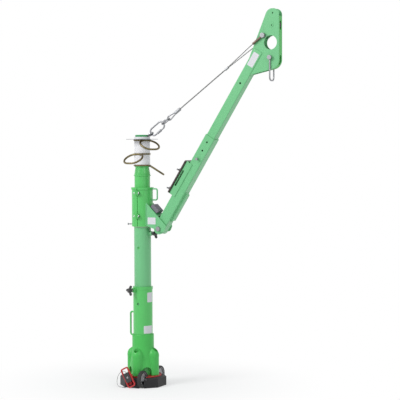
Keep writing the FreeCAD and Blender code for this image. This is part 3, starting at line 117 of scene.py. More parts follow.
def studio_lamp(name, place, target, width, power):
    """Round soft lamp that looks at a point."""
    lamp = bpy.data.lights.new(name, "AREA")
    lamp.shape = "DISK"
    lamp.size = width
    lamp.energy = power
    holder = bpy.data.objects.new(name, lamp)
    scene.collection.objects.link(holder)
    holder.location = place
    holder.rotation_euler = (Vector(target) - Vector(place)).to_track_quat("-Z", "Y").to_euler()


studio_lamp("lamp_left", (-3.2, -5.0, 5.0), (0.2, 0.0, 1.1), 3.2, 285.0)
studio_lamp("lamp_right", (5.5, -2.5, 4.2), (0.4, 0.0, 1.2), 3.0, 70.0)

# Camera: at the photograph's angle, twenty-seven degrees round from the boom's side, at about
# two thirds of the crane's height and tipped a little down.
camera_lens = bpy.data.cameras.new("photo_camera")
camera_lens.lens = 119.85
camera_lens.sensor_width = 36.0
camera_lens.clip_end = 200.0
camera = bpy.data.objects.new("photo_camera", camera_lens)
scene.collection.objects.link(camera)
camera_place = (4.358, -7.843, 1.629)
camera_round = 26.58
camera_up = 87.58
camera_lean = -0.19
camera_turn = Matrix.Rotation(math.radians(camera_round), 4, "Z")
camera_tip = Matrix.Rotation(math.radians(camera_up), 4, "X")
camera_roll = Matrix.Rotation(math.radians(camera_lean), 4, "Z")
camera.matrix_world = Matrix.Translation(camera_place) @ camera_turn @ camera_tip @ camera_roll
scene.camera = camera

# Base block: a heavy eight-sided block of cast iron, sprayed black, with its upper edge chamfered.
# The sprayed finish has a fine orange-peel skin, slow drifts of tone and small scuffs.


def sprayed_paint(name, colour, shade, scuff, gloss, peel, sheen=0.5, lacquer=0.0, streak=0.0):
    """Sprayed finish: drifting tone, upright streaks on drawn tube, fine skin and pale rubbed patches."""
    paint = bpy.data.materials.new(name)
    paint.use_nodes = True
    nodes = paint.node_tree.nodes
    links = paint.node_tree.links
    shader = nodes["Principled BSDF"]
    shader.inputs["Specular IOR Level"].default_value = sheen
    shader.inputs["Coat Weight"].default_value = lacquer
    shader.inputs["Coat Roughness"].default_value = 0.22
    place = nodes.new("ShaderNodeTexCoord")
    drift = nodes.new("ShaderNodeTexNoise")
    drift.inputs["Scale"].default_value = 5.0
    drift.inputs["Detail"].default_value = 3.0
    tone = nodes.new("ShaderNodeMix")
    tone.data_type = "RGBA"
    tone.inputs["A"].default_value = (*colour, 1.0)
    tone.inputs["B"].default_value = (*shade, 1.0)
    rub = nodes.new("ShaderNodeTexNoise")
    rub.inputs["Scale"].default_value = 38.0
    rub.inputs["Detail"].default_value = 8.0
    rub.inputs["Roughness"].default_value = 0.7
    rub_step = nodes.new("ShaderNodeMapRange")
    rub_step.inputs["From Min"].default_value = 0.66
    rub_step.inputs["From Max"].default_value = 0.78
    rub_step.inputs["To Max"].default_value = 0.55
    worn = nodes.new("ShaderNodeMix")
    worn.data_type = "RGBA"
    worn.inputs["B"].default_value = (*scuff, 1.0)
    skin = nodes.new("ShaderNodeTexNoise")
    skin.inputs["Scale"].default_value = 420.0
    skin.inputs["Detail"].default_value = 2.0
    bump = nodes.new("ShaderNodeBump")
    bump.inputs["Strength"].default_value = peel
    bump.inputs["Distance"].default_value = 0.0006
    rough = nodes.new("ShaderNodeMapRange")
    rough.inputs["To Min"].default_value = gloss - 0.08
    rough.inputs["To Max"].default_value = gloss + 0.12
    for texture in (drift, rub, skin):
        links.new(place.outputs["Object"], texture.inputs["Vector"])
    stretch = nodes.new("ShaderNodeMapping")
    stretch.inputs["Scale"].default_value = (1.0, 1.0, 0.03)
    lines = nodes.new("ShaderNodeTexNoise")
    lines.inputs["Scale"].default_value = 70.0
    lines.inputs["Detail"].default_value = 4.0
    lines_step = nodes.new("ShaderNodeMapRange")
    lines_step.inputs["From Min"].default_value = 0.50
    lines_step.inputs["From Max"].default_value = 0.72
    lines_step.inputs["To Max"].default_value = streak
    depth = nodes.new("ShaderNodeMath")
    depth.operation = "ADD"
    depth.use_clamp = True
    links.new(place.outputs["Object"], stretch.inputs["Vector"])
    links.new(stretch.outputs["Vector"], lines.inputs["Vector"])
    links.new(lines.outputs["Fac"], lines_step.inputs["Value"])
    links.new(drift.outputs["Fac"], depth.inputs[0])
    links.new(lines_step.outputs["Result"], depth.inputs[1])
    links.new(depth.outputs[0], tone.inputs["Factor"])
    links.new(rub.outputs["Fac"], rub_step.inputs["Value"])
    links.new(rub_step.outputs["Result"], worn.inputs["Factor"])
    links.new(tone.outputs["Result"], worn.inputs["A"])
    links.new(worn.outputs["Result"], shader.inputs["Base Color"])
    links.new(skin.outputs["Fac"], bump.inputs["Height"])
    links.new(bump.outputs["Normal"], shader.inputs["Normal"])
    links.new(rub.outputs["Fac"], rough.inputs["Value"])
    links.new(rough.outputs["Result"], shader.inputs["Roughness"])
    return paint


same_point = 0.00001
flat_within = math.radians(0.5)
corner_from = math.radians(40.0)
smooth_within = math.radians(35.0)


def merged_copy(node, name):
    """Copy of a CAD solid, with its loose triangles merged, left selected for the next operator."""
    bpy.ops.object.select_all(action="DESELECT")
    piece = bpy.data.objects.new(name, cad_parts[node].data.copy())
    scene.collection.objects.link(piece)
    bpy.context.view_layer.objects.active = piece
    piece.select_set(True)
    bpy.ops.object.mode_set(mode="EDIT")
    bpy.ops.mesh.select_all(action="SELECT")
    bpy.ops.mesh.remove_doubles(threshold=same_point)
    bpy.ops.object.mode_set(mode="OBJECT")
    return piece


def rounded_copy(node, name, edge):
    """Copy of a CAD solid with its sharp outer edges rounded over."""
    piece = merged_copy(node, name)
    bpy.ops.object.mode_set(mode="EDIT")
    bpy.ops.mesh.select_all(action="SELECT")
    bpy.ops.mesh.dissolve_limited(angle_limit=flat_within)
    bpy.ops.object.mode_set(mode="OBJECT")
    if edge > 0:
        bevel = piece.modifiers.new("rounded_edges", "BEVEL")
        bevel.width = edge
        bevel.segments = 2
        bevel.limit_method = "ANGLE"
        bevel.angle_limit = corner_from
        bevel.use_clamp_overlap = True
        bpy.ops.object.modifier_apply(modifier="rounded_edges")
        bpy.ops.object.mode_set(mode="EDIT")
        bpy.ops.mesh.select_all(action="SELECT")
        bpy.ops.mesh.remove_doubles(threshold=same_point / 2)
        bpy.ops.object.mode_set(mode="OBJECT")
    bpy.ops.object.shade_smooth_by_angle(angle=smooth_within)
    flats = piece.modifiers.new("true_flats", "WEIGHTED_NORMAL")
    flats.keep_sharp = True
    bpy.ops.object.modifier_apply(modifier="true_flats")
    return piece


def fit_piece(piece, material, body, slot, *nodes):
    """Finish and body of a new piece, and the CAD nodes that it stands for, which it hides. The slot
    argument is not used.
    """
    piece.data.materials.clear()
    piece.data.materials.append(material)
    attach(piece, body)
    if nodes:
        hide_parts(*nodes)


def dress(node, name, edge, material, body, slot):
    """Rounded copy of one CAD solid in its finish, standing for that solid."""
    piece = rounded_copy(node, name, edge)
    fit_piece(piece, material, body, slot, node)
    return piece


base_black = sprayed_paint(
    "base_black", (0.018, 0.018, 0.020), (0.030, 0.029, 0.030), (0.10, 0.09, 0.08),
    gloss=0.52, peel=0.35, sheen=0.25)
dress("base_block", "base_block_casting", 0.0025, base_black, "stand", "black_base")

# Red plate: a round steel plate between block and foot, cut out for the wheels and sprayed red.
# Its edges are broken, and the foot's bolts go down through it.
base_red = sprayed_paint(
    "base_red", (0.52, 0.028, 0.030), (0.42, 0.018, 0.022), (0.62, 0.20, 0.18),
    gloss=0.38, peel=0.30)
dress("base_plate", "red_plate", 0.0012, base_red, "stand", "red_paint")

# Mast foot: one green casting with four bullet-shaped legs, blended into the socket of the mast.
# The legs run into the bell with the round of a casting, and the bolt pockets are bored afterwards.
# This green is the foot's own paint. The head's front strip takes it too, as painted shade for its recess
# between the plates.
foot_green_strip_shade = sprayed_paint(
    "foot_green_strip_shade", (0.066, 0.500, 0.092), (0.048, 0.440, 0.070), (0.16, 0.58, 0.20),
    gloss=0.40, peel=0.40, sheen=0.45)


def ease_corners(piece, voxel, passes):
    """Round the inner corners of the active piece as a casting's are."""
    remesh = piece.modifiers.new("even_mesh", "REMESH")
    remesh.mode = "VOXEL"
    remesh.voxel_size = voxel
    ease = piece.modifiers.new("eased", "SMOOTH")
    ease.factor = 0.5
    ease.iterations = passes
    bpy.ops.object.modifier_apply(modifier="even_mesh")
    bpy.ops.object.modifier_apply(modifier="eased")
    bpy.ops.object.shade_smooth()


def eased_copy(node, name, voxel, passes):
    """Copy of a CAD solid, eased."""
    piece = merged_copy(node, name)
    ease_corners(piece, voxel, passes)
    return piece


leg_count = 4


def at_each_leg(out, up):
    """Move the mesh of the active object out to the first leg, and repeat it at the other three."""
    bpy.ops.object.mode_set(mode="EDIT")
    bpy.ops.mesh.select_all(action="SELECT")
    bpy.ops.transform.translate(value=(out, 0.0, up))
    bpy.ops.mesh.spin(
        steps=leg_count - 1, dupli=True, use_auto_merge=False, angle=math.tau * (leg_count - 1) / leg_count,
        center=origin, axis=upright)
    bpy.ops.object.mode_set(mode="OBJECT")


def cut_away(piece, cutter):
    """Take one object's form out of a piece, and drop that object."""
    bpy.ops.object.select_all(action="DESELECT")
    piece.select_set(True)
    bpy.context.view_layer.objects.active = piece
    cut = piece.modifiers.new("cut_away", "BOOLEAN")
    cut.operation = "DIFFERENCE"
    cut.object = cutter
    bpy.ops.object.modifier_apply(modifier="cut_away")
    bpy.data.objects.remove(cutter)


leg_axis = 0.078
leg_dome_foot = 0.191
leg_dome_width = 0.0378
leg_dome_height = 0.0675
socket_middle = 0.0692
pocket_axis = 0.091
pocket_floor = 0.165
pocket_width = 0.018
pocket_depth = 0.200
foot_voxel = 0.0023
foot_passes = 8
bpy.ops.object.select_all(action="DESELECT")
bpy.ops.mesh.primitive_cylinder_add(vertices=96, radius=socket_middle, depth=1.0, location=origin)
socket_core = bpy.context.object
bpy.ops.object.select_all(action="DESELECT")
bpy.ops.mesh.primitive_uv_sphere_add(segments=48, ring_count=24, radius=leg_dome_width, location=origin)
leg_domes = bpy.context.object
bpy.ops.object.mode_set(mode="EDIT")
bpy.ops.transform.resize(value=(1.0, 1.0, leg_dome_height / leg_dome_width))
bpy.ops.object.mode_set(mode="OBJECT")
at_each_leg(leg_axis, leg_dome_foot)
cut_away(leg_domes, socket_core)
foot_casting = merged_copy("mast_foot", "mast_foot_casting")
leg_domes.select_set(True)
bpy.ops.object.join()
ease_corners(foot_casting, foot_voxel, foot_passes)
bpy.ops.object.select_all(action="DESELECT")
bpy.ops.mesh.primitive_cylinder_add(vertices=64, radius=pocket_width, depth=pocket_depth, location=origin)
leg_pockets = bpy.context.object
at_each_leg(pocket_axis, pocket_floor + pocket_depth / 2)
cut_away(foot_casting, leg_pockets)
bpy.ops.object.shade_smooth_by_angle(angle=corner_from)
fit_piece(foot_casting, foot_green_strip_shade, "stand", "green_paint", "mast_foot")

# Foot bolts: four zinc-plated hexagon bolts in the pockets of the legs. The plating is soft and
# slightly cloudy, with faint lines and a little warmth where it has aged.


def plated_steel(name, colour, cloud, gloss):
    """Zinc plating: cloudy tone, fine lines and uneven gloss."""
    steel = bpy.data.materials.new(name)
    steel.use_nodes = True
    nodes = steel.node_tree.nodes
    links = steel.node_tree.links
    shader = nodes["Principled BSDF"]
    shader.inputs["Metallic"].default_value = 1.0
    place = nodes.new("ShaderNodeTexCoord")
    mist = nodes.new("ShaderNodeTexNoise")
    mist.inputs["Scale"].default_value = 70.0
    mist.inputs["Detail"].default_value = 5.0
    tone = nodes.new("ShaderNodeMix")
    tone.data_type = "RGBA"
    tone.inputs["A"].default_value = (*colour, 1.0)
    tone.inputs["B"].default_value = (*cloud, 1.0)
    rough = nodes.new("ShaderNodeMapRange")
    rough.inputs["To Min"].default_value = gloss - 0.12
    rough.inputs["To Max"].default_value = gloss + 0.16
    lines = nodes.new("ShaderNodeTexNoise")
    lines.inputs["Scale"].default_value = 900.0
    lines.inputs["Detail"].default_value = 1.0
    bump = nodes.new("ShaderNodeBump")
    bump.inputs["Strength"].default_value = 0.18
    bump.inputs["Distance"].default_value = 0.0003
    for texture in (mist, lines):
        links.new(place.outputs["Object"], texture.inputs["Vector"])
    links.new(mist.outputs["Fac"], tone.inputs["Factor"])
    links.new(tone.outputs["Result"], shader.inputs["Base Color"])
    links.new(mist.outputs["Fac"], rough.inputs["Value"])
    links.new(rough.outputs["Result"], shader.inputs["Roughness"])
    links.new(lines.outputs["Fac"], bump.inputs["Height"])
    links.new(bump.outputs["Normal"], shader.inputs["Normal"])
    return steel


zinc = plated_steel("zinc_plate", (0.40, 0.41, 0.43), (0.22, 0.22, 0.23), gloss=0.32)
dress("foot_bolts", "foot_bolt_set", 0.0008, zinc, "stand", "bright_steel")

# Wheels: two cast wheels with solid rubber tyres, let into the block on plain axles so that the
# crane can be tipped and rolled. The rubber has the fine grain of its mould.


def moulded(name, colour, shade, gloss, grain):
    """Moulded plastic or rubber: slow drift of tone and the fine grain of its mould."""
    plastic = bpy.data.materials.new(name)
    plastic.use_nodes = True
    nodes = plastic.node_tree.nodes
    links = plastic.node_tree.links
    shader = nodes["Principled BSDF"]
    place = nodes.new("ShaderNodeTexCoord")
    drift = nodes.new("ShaderNodeTexNoise")
    drift.inputs["Scale"].default_value = 24.0
    drift.inputs["Detail"].default_value = 4.0
    tone = nodes.new("ShaderNodeMix")
    tone.data_type = "RGBA"
    tone.inputs["A"].default_value = (*colour, 1.0)
    tone.inputs["B"].default_value = (*shade, 1.0)
    spark = nodes.new("ShaderNodeTexNoise")
    spark.inputs["Scale"].default_value = 1100.0
    bump = nodes.new("ShaderNodeBump")
    bump.inputs["Strength"].default_value = grain
    bump.inputs["Distance"].default_value = 0.0004
    rough = nodes.new("ShaderNodeMapRange")
    rough.inputs["To Min"].default_value = gloss - 0.08
    rough.inputs["To Max"].default_value = gloss + 0.08
    links.new(place.outputs["Object"], drift.inputs["Vector"])
    links.new(place.outputs["Object"], spark.inputs["Vector"])
    links.new(drift.outputs["Fac"], tone.inputs["Factor"])
    links.new(tone.outputs["Result"], shader.inputs["Base Color"])
    links.new(spark.outputs["Fac"], bump.inputs["Height"])
    links.new(bump.outputs["Normal"], shader.inputs["Normal"])
    links.new(drift.outputs["Fac"], rough.inputs["Value"])
    links.new(rough.outputs["Result"], shader.inputs["Roughness"])
    return plastic


tyre_black = moulded("tyre_black", (0.018, 0.018, 0.018), (0.032, 0.031, 0.030), gloss=0.80, grain=0.60)
rim_grey = plated_steel("rim_grey", (0.42, 0.43, 0.44), (0.30, 0.30, 0.31), gloss=0.48)
dress("wheel_axles", "axle_pair", 0.0006, zinc, "stand", "bright_steel")
for wheel_side in ("near", "far"):
    wheel_body = "wheel_" + wheel_side
    dress("wheel_tyre_" + wheel_side, "tyre_" + wheel_side, 0.0, tyre_black, wheel_body, "tyre_rubber")
    dress("wheel_rim_" + wheel_side, "rim_" + wheel_side, 0.0008, rim_grey, wheel_body, "wheel_metal")

# Rocker pedal: a red frame of bent flat bar round a black block that turns on the bracket's shaft.
# The bracket is a red steel block bolted to the side of the base.
knob_black = moulded("knob_black", (0.020, 0.020, 0.021), (0.034, 0.034, 0.034), gloss=0.46, grain=0.30)
pedal_bracket = dress("pedal_block", "pedal_bracket", 0.0012, base_red, "stand", "red_paint")


def second_finish(piece, material, chosen):
    """Second finish on the faces that the test picks by their centre."""
    piece.data.materials.append(material)
    for face in piece.data.polygons:
        if chosen(face.center):
            face.material_index = len(piece.data.materials) - 1


shaft_end = -0.1630
second_finish(pedal_bracket, zinc, lambda spot: spot.y < shaft_end)
dress("rocker_pedal", "rocker_frame", 0.0015, base_red, "pedal", "red_paint")
dress("pedal_hub", "rocker_block", 0.0015, knob_black, "pedal", "black_knob")

# Lanyard: a thin steel wire that comes up through the plate and loops to the floor, with a small
# steel pin on its end. It hangs free and keeps the bend it is given.
lanyard_points = [
    (-0.0660, -0.0980, 0.0736), (-0.0690, -0.1010, 0.0870), (-0.0800, -0.1070, 0.0980),
    (-0.0970, -0.1130, 0.1020), (-0.1130, -0.1190, 0.0920), (-0.1230, -0.1250, 0.0730),
    (-0.1270, -0.1320, 0.0520), (-0.1250, -0.1400, 0.0310), (-0.1170, -0.1490, 0.0140),
    (-0.1020, -0.1570, 0.0050), (-0.0840, -0.1630, 0.0036), (-0.0660, -0.1670, 0.0036),
]
lanyard_wire = 0.003
rope_steel = plated_steel("rope_steel", (0.34, 0.34, 0.34), (0.16, 0.16, 0.16), gloss=0.42)
lanyard_line = bpy.data.curves.new("lanyard_line", "CURVE")
lanyard_line.dimensions = "3D"
lanyard_line.bevel_depth = lanyard_wire / 2
lanyard_line.bevel_resolution = 4
lanyard_line.use_fill_caps = True
lanyard_run = lanyard_line.splines.new("NURBS")
lanyard_run.points.add(len(lanyard_points) - 1)
for control, spot in zip(lanyard_run.points, lanyard_points):
    control.co = (*spot, 1.0)
lanyard_run.order_u = 3
lanyard_run.use_endpoint_u = True
lanyard_run.resolution_u = 10
lanyard_piece = bpy.data.objects.new("lanyard_line", lanyard_line)
scene.collection.objects.link(lanyard_piece)
fit_piece(lanyard_piece, rope_steel, "stand", "wire_rope", "lanyard")
pin_end = dress("lanyard_pin", "lanyard_toggle", 0.0008, zinc, "stand", "bright_steel")

# Lower mast: wide aluminium tube with a turned rim, sprayed green. A bent rod handle is welded on
# behind, the knob's boss is welded in front, and two blank pale plates are stuck on its right side.
lower_green = sprayed_paint(
    "lower_green", (0.094, 0.535, 0.128), (0.074, 0.480, 0.104), (0.20, 0.60, 0.24),
    gloss=0.34, peel=0.20, sheen=0.5, lacquer=0.20, streak=0.5)
lower_tube = dress("lower_mast", "lower_mast_tube", 0.0012, lower_green, "stand", "green_paint")
dress("grab_handle", "grab_rod", 0.0, lower_green, "stand", "green_paint")


drop_pitch = 0.95
grains_in_drop = 3.5
melt_passes = 2


def around_mast(degrees):
    """Level heading out from the mast's axis."""
    turn = math.radians(degrees)
    return Vector((math.cos(turn), math.sin(turn), 0.0))


def weld_ring(name, centre, heading, radius, bead):
    """Ring of weld round a rod or boss: overlapping drops laid in a circle and melted together."""
    bpy.ops.object.select_all(action="DESELECT")
    bpy.ops.mesh.primitive_uv_sphere_add(segments=10, ring_count=8, radius=bead, location=(radius, 0.0, 0.0))
    weld = bpy.context.object
    weld.name = name
    bpy.ops.object.mode_set(mode="EDIT")
    bpy.ops.mesh.select_all(action="SELECT")
    bpy.ops.mesh.spin(steps=int(math.tau * radius / (drop_pitch * bead)), dupli=True, use_auto_merge=False,
                      angle=math.tau, center=origin, axis=upright)
    bpy.ops.object.mode_set(mode="OBJECT")
    bpy.ops.object.transform_apply(location=True, rotation=True, scale=True)
    ease_corners(weld, bead / grains_in_drop, melt_passes)
    weld.data.transform(Vector(heading).to_track_quat("Z", "Y").to_matrix().to_4x4())
    weld.data.transform(Matrix.Translation(centre))
    return weld


def weld_group(name, welds, material, body):
    """Beads of one piece, joined and painted with it."""
    bpy.ops.object.select_all(action="DESELECT")
    for weld in welds:
        weld.select_set(True)
    bpy.context.view_layer.objects.active = welds[0]
    bpy.ops.object.join()
    welds[0].name = name
    fit_piece(welds[0], material, body, "green_paint")


grab_heading = around_mast(168.0)
boss_heading = around_mast(240.0)
grab_low = grab_heading * 0.0735 + Vector((0.0, 0.0, 0.333))
grab_high = grab_heading * 0.0655 + Vector((0.0, 0.0, 0.490))
boss_foot = boss_heading * 0.0648 + Vector((0.0, 0.0, 0.646))
grab_weld, grab_bead = 0.0066, 0.0021
boss_weld, boss_bead = 0.0158, 0.0024
weld_group("lower_mast_welds", [
    weld_ring("grab_weld_low", grab_low, grab_heading, grab_weld, grab_bead),
    weld_ring("grab_weld_high", grab_high, grab_heading, grab_weld, grab_bead),
    weld_ring("boss_weld", boss_foot, boss_heading, boss_weld, boss_bead),
], lower_green, "stand")


plate_strips = 16
plate_glue = 0.00015
plate_sheet = 0.0005


def blank_plate(name, width, height, corner, spot, outward, up, carrier):
    """Thin stuck-on plate with round corners and nothing on it, pressed on to the piece that carries it."""
    bpy.ops.object.select_all(action="DESELECT")
    bpy.ops.mesh.primitive_plane_add(size=1.0, location=origin)
    plate = bpy.context.object
    plate.name = name
    bpy.ops.object.mode_set(mode="EDIT")
    bpy.ops.mesh.select_all(action="SELECT")
    bpy.ops.transform.resize(value=(width, height, 1.0), center_override=origin)
    bpy.ops.mesh.bevel(offset=corner, segments=5, affect="VERTICES")
    for cut in range(1, plate_strips):
        bpy.ops.mesh.select_all(action="SELECT")
        strip_edge = width * (cut / plate_strips - 0.5)
        bpy.ops.mesh.bisect(plane_co=(strip_edge, 0.0, 0.0), plane_no=(1.0, 0.0, 0.0))
    bpy.ops.object.mode_set(mode="OBJECT")
    across = Vector(up).cross(Vector(outward))
    turn = Matrix((across, Vector(up), Vector(outward))).transposed().to_4x4()
    plate.data.transform(Matrix.Translation(spot) @ turn)
    press = plate.modifiers.new("pressed_on", "SHRINKWRAP")
    press.wrap_method = "NEAREST_SURFACEPOINT"
    press.wrap_mode = "ABOVE_SURFACE"
    press.target = carrier
    press.offset = plate_glue
    body_depth = plate.modifiers.new("thickness", "SOLIDIFY")
    body_depth.thickness = plate_sheet
    body_depth.offset = 1.0
    bpy.ops.object.modifier_apply(modifier="pressed_on")
    bpy.ops.object.modifier_apply(modifier="thickness")
    bpy.ops.object.shade_smooth_by_angle(angle=smooth_within)
    return plate


plate_pale = sprayed_paint(
    "plate_pale", (0.68, 0.69, 0.71), (0.62, 0.63, 0.66), (0.50, 0.50, 0.49),
    gloss=0.36, peel=0.06, sheen=0.35)
plate_reach = 0.0665
plate_corner = 0.005
for plate_name, plate_turn, plate_z, plate_size in (
    ("mast_plate_upper", -13.0, 0.598, (0.052, 0.066)),
    ("mast_plate_lower", -26.0, 0.381, (0.078, 0.052)),
):
    plate_out = around_mast(plate_turn)
    plate_spot = plate_out * plate_reach + Vector((0.0, 0.0, plate_z))
    mast_plate = blank_plate(
        plate_name, *plate_size, plate_corner, plate_spot, plate_out, upright, lower_tube)
    fit_piece(mast_plate, plate_pale, "stand", "white_sleeve")

# Clamping knobs: three-armed black plastic knobs moulded on zinc-plated steel studs, screwed into
# the bosses of the two tubes. The stud is bare between boss and knob.
for knob, knob_turn, bare_to in (("lower_knob", 240.0, 0.0922), ("upper_knob", 0.0, 0.0843)):
    knob_moulding = eased_copy(knob, knob + "_moulding", 0.0011, 6)
    fit_piece(knob_moulding, knob_black, knob, "black_knob", knob)
    knob_out = around_mast(knob_turn)
    second_finish(knob_moulding, zinc, lambda spot: spot.dot(knob_out) < bare_to)

# Main mast: the aluminium tube that slides in the lower mast, sprayed green, with a welded boss for
# the upper knob. A plastic guide bush sits on its foot and a plastic washer on its top.
mast_green = sprayed_paint(
    "mast_green", (0.158, 0.515, 0.228), (0.128, 0.462, 0.190), (0.27, 0.60, 0.34),
    gloss=0.34, peel=0.20, sheen=0.5, lacquer=0.25, streak=0.5)
dress("main_mast", "main_mast_tube", 0.0012, mast_green, "mast", "green_paint")
weld_group("main_mast_welds", [
    weld_ring("upper_boss_weld", (0.0568, 0.0, 1.028), (1.0, 0.0, 0.0), boss_weld, boss_bead),
], mast_green, "mast")
bush_grey = moulded("bush_grey", (0.60, 0.59, 0.55), (0.52, 0.51, 0.48), gloss=0.55, grain=0.15)
dress("guide_bush", "guide_bush_ring", 0.0008, bush_grey, "mast", "bearing_plastic")
dress("thrust_washer", "thrust_ring", 0.0006, bush_grey, "mast", "bearing_plastic")

# Anchor post and ring stack: a turned green post with white plastic sleeves, three forged rings
# in an olive plating that turn freely, a steel disc and a cap.
sleeve_white = moulded("sleeve_white", (0.80, 0.80, 0.82), (0.72, 0.72, 0.74), gloss=0.42, grain=0.10)
ring_olive = plated_steel("ring_olive", (0.215, 0.180, 0.095), (0.140, 0.112, 0.055), gloss=0.40)
# This dark green is the cap's paint. The collar web takes it too, as painted shade for its recess between
# the gussets.
cap_green_web_shade = sprayed_paint(
    "cap_green_web_shade", (0.020, 0.300, 0.085), (0.014, 0.250, 0.066), (0.10, 0.40, 0.16),
    gloss=0.38, peel=0.22)
dress("anchor_post", "anchor_post_turning", 0.0010, lower_green, "swivel", "green_paint")
dress("ring_spacers", "sleeve_set", 0.0010, sleeve_white, "swivel", "white_sleeve")
dress("retaining_disc", "stack_disc", 0.0006, zinc, "swivel", "bright_steel")
dress("top_cap", "stack_cap", 0.0010, cap_green_web_shade, "swivel", "green_paint")
for level in ("lower", "middle", "upper"):
    ring = eased_copy("anchor_ring_" + level, "ring_forging_" + level, 0.0016, 4)
    fit_piece(ring, ring_olive, "ring_" + level, "ring_bronze", "anchor_ring_" + level)

# Collar: a split steel sleeve clamped on the post by two bolts, with two gusset plates, a web with a
# rubber pad on it and a rod handle, all welded on and sprayed green. One gusset has a blank plate.
pad_grey = moulded("pad_grey", (0.21, 0.19, 0.23), (0.16, 0.15, 0.18), gloss=0.75, grain=0.50)
dress("collar_sleeve", "collar_tube", 0.0010, lower_green, "swivel", "green_paint")
gusset_pair = dress("collar_gussets", "gusset_pair", 0.0012, mast_green, "swivel", "green_paint")
# The web takes the dark cap green: painted shade for its recess between the gussets.
dress("cross_plate", "collar_web", 0.0010, cap_green_web_shade, "swivel", "green_paint")
dress("stop_pad", "stop_block", 0.0020, pad_grey, "swivel", "pad_rubber")
dress("carry_handle", "carry_rod", 0.0, mast_green, "swivel", "green_paint")


def weld_bead(name, start, end, bead):
    """Straight weld: overlapping drops laid along a seam and melted together."""
    run = Vector(end) - Vector(start)
    pitch = drop_pitch * bead
    bpy.ops.object.select_all(action="DESELECT")
    bpy.ops.mesh.primitive_uv_sphere_add(segments=10, ring_count=8, radius=bead, location=origin)
    weld = bpy.context.object
    weld.name = name
    bpy.ops.object.mode_set(mode="EDIT")
    bpy.ops.mesh.select_all(action="SELECT")
    bpy.ops.transform.translate(value=(bead, 0.0, 0.0))
    bpy.ops.object.mode_set(mode="OBJECT")
    row = weld.modifiers.new("drops", "ARRAY")
    row.use_relative_offset = False
    row.use_constant_offset = True
    row.constant_offset_displace = (pitch, 0.0, 0.0)
    row.count = int((run.length - 2 * bead) / pitch) + 1
    bpy.ops.object.modifier_apply(modifier="drops")
    ease_corners(weld, bead / grains_in_drop, melt_passes)
    weld.data.transform(run.to_track_quat("X", "Z").to_matrix().to_4x4())
    weld.data.transform(Matrix.Translation(start))
    return weld


seam_foot, seam_top, seam_bead = 1.0850, 1.2300, 0.0032
carry_weld, carry_bead = 0.0056, 0.0020
gusset_seams = []
for seam_y, seam_x in ((-0.0480, 0.0533), (-0.0390, 0.0598), (0.0390, 0.0598), (0.0480, 0.0533)):
    seam_ends = (seam_x, seam_y, seam_foot), (seam_x, seam_y, seam_top)
    gusset_seams.append(weld_bead("gusset_weld", *seam_ends, seam_bead))
for rod_z in (1.254, 1.328):
    rod_foot = (0.0716, 0.0, rod_z)
    gusset_seams.append(weld_ring("carry_weld", rod_foot, (1.0, 0.0, 0.0), carry_weld, carry_bead))
weld_group("collar_welds", gusset_seams, mast_green, "swivel")
gusset_plate = blank_plate("gusset_plate", 0.060, 0.046, 0.004, (0.0960, -0.0490, 1.1150), (0.0, -1.0, 0.0),
                           upright, gusset_pair)
fit_piece(gusset_plate, plate_pale, "swivel", "white_sleeve")
dress("clamp_bolts", "clamp_bolt_pair", 0.0006, zinc, "swivel", "bright_steel")
dress("collar_pin", "collar_pull_pin", 0.0008, zinc, "collar_pin", "bright_steel")
dress("pivot_bolt", "boom_pivot_bolt", 0.0010, zinc, "swivel", "bright_steel")

# Boom: square aluminium tube with a rounded foot, sprayed green. A guide rail is welded under it,
# and a zinc-plated pin in its side locks the inner tube.
dress("boom_outer", "boom_outer_tube", 0.0010, mast_green, "boom", "green_paint")
dress("boom_rail", "boom_rail_bar", 0.0012, mast_green, "boom", "green_paint")
dress("lock_pin", "boom_lock_pin", 0.0010, zinc, "lock_pin", "bright_steel")

boom_pivot = Vector((0.145, 0.0, 1.063))
boom_lean = math.radians(58.0)
boom_run = Vector((math.cos(boom_lean), 0.0, math.sin(boom_lean)))
boom_rise = Vector((-math.sin(boom_lean), 0.0, math.cos(boom_lean)))


def on_boom(along, out, side):
    """Point by its distance along the boom from the pivot, its height over the boom's axis and its side."""
    return boom_pivot + boom_run * along + boom_rise * out + Vector((0.0, side, 0.0))


boom_bead = 0.0026
weld_group("rail_welds", [
    weld_bead("rail_weld", on_boom(0.084, -0.0376, side), on_boom(0.309, -0.0376, side), boom_bead)
    for side in (-0.0202, 0.0202)
], mast_green, "boom")

# Winch bracket: a folded steel saddle welded on the boom and sprayed green, with a dark plate that
# carries the winch, held by two cast wing screws.
winch_brown = sprayed_paint(
    "winch_brown", (0.050, 0.034, 0.028), (0.034, 0.024, 0.022), (0.16, 0.11, 0.09),
    gloss=0.50, peel=0.40)
dress("winch_bracket", "winch_saddle", 0.0010, mast_green, "boom", "green_paint")
weld_group("saddle_welds", [
    weld_bead("saddle_weld", on_boom(0.250, 0.0124, side), on_boom(0.493, 0.0124, side), boom_bead)
    for side in (-0.0384, 0.0384)
], mast_green, "boom")
dress("winch_plate", "winch_mounting", 0.0012, winch_brown, "boom", "winch_black")
for place in ("lower", "upper"):
    screw = eased_copy("wing_screw_" + place, "wing_screw_casting_" + place, 0.0008, 4)
    fit_piece(screw, zinc, "wing_" + place, "bright_steel", "wing_screw_" + place)

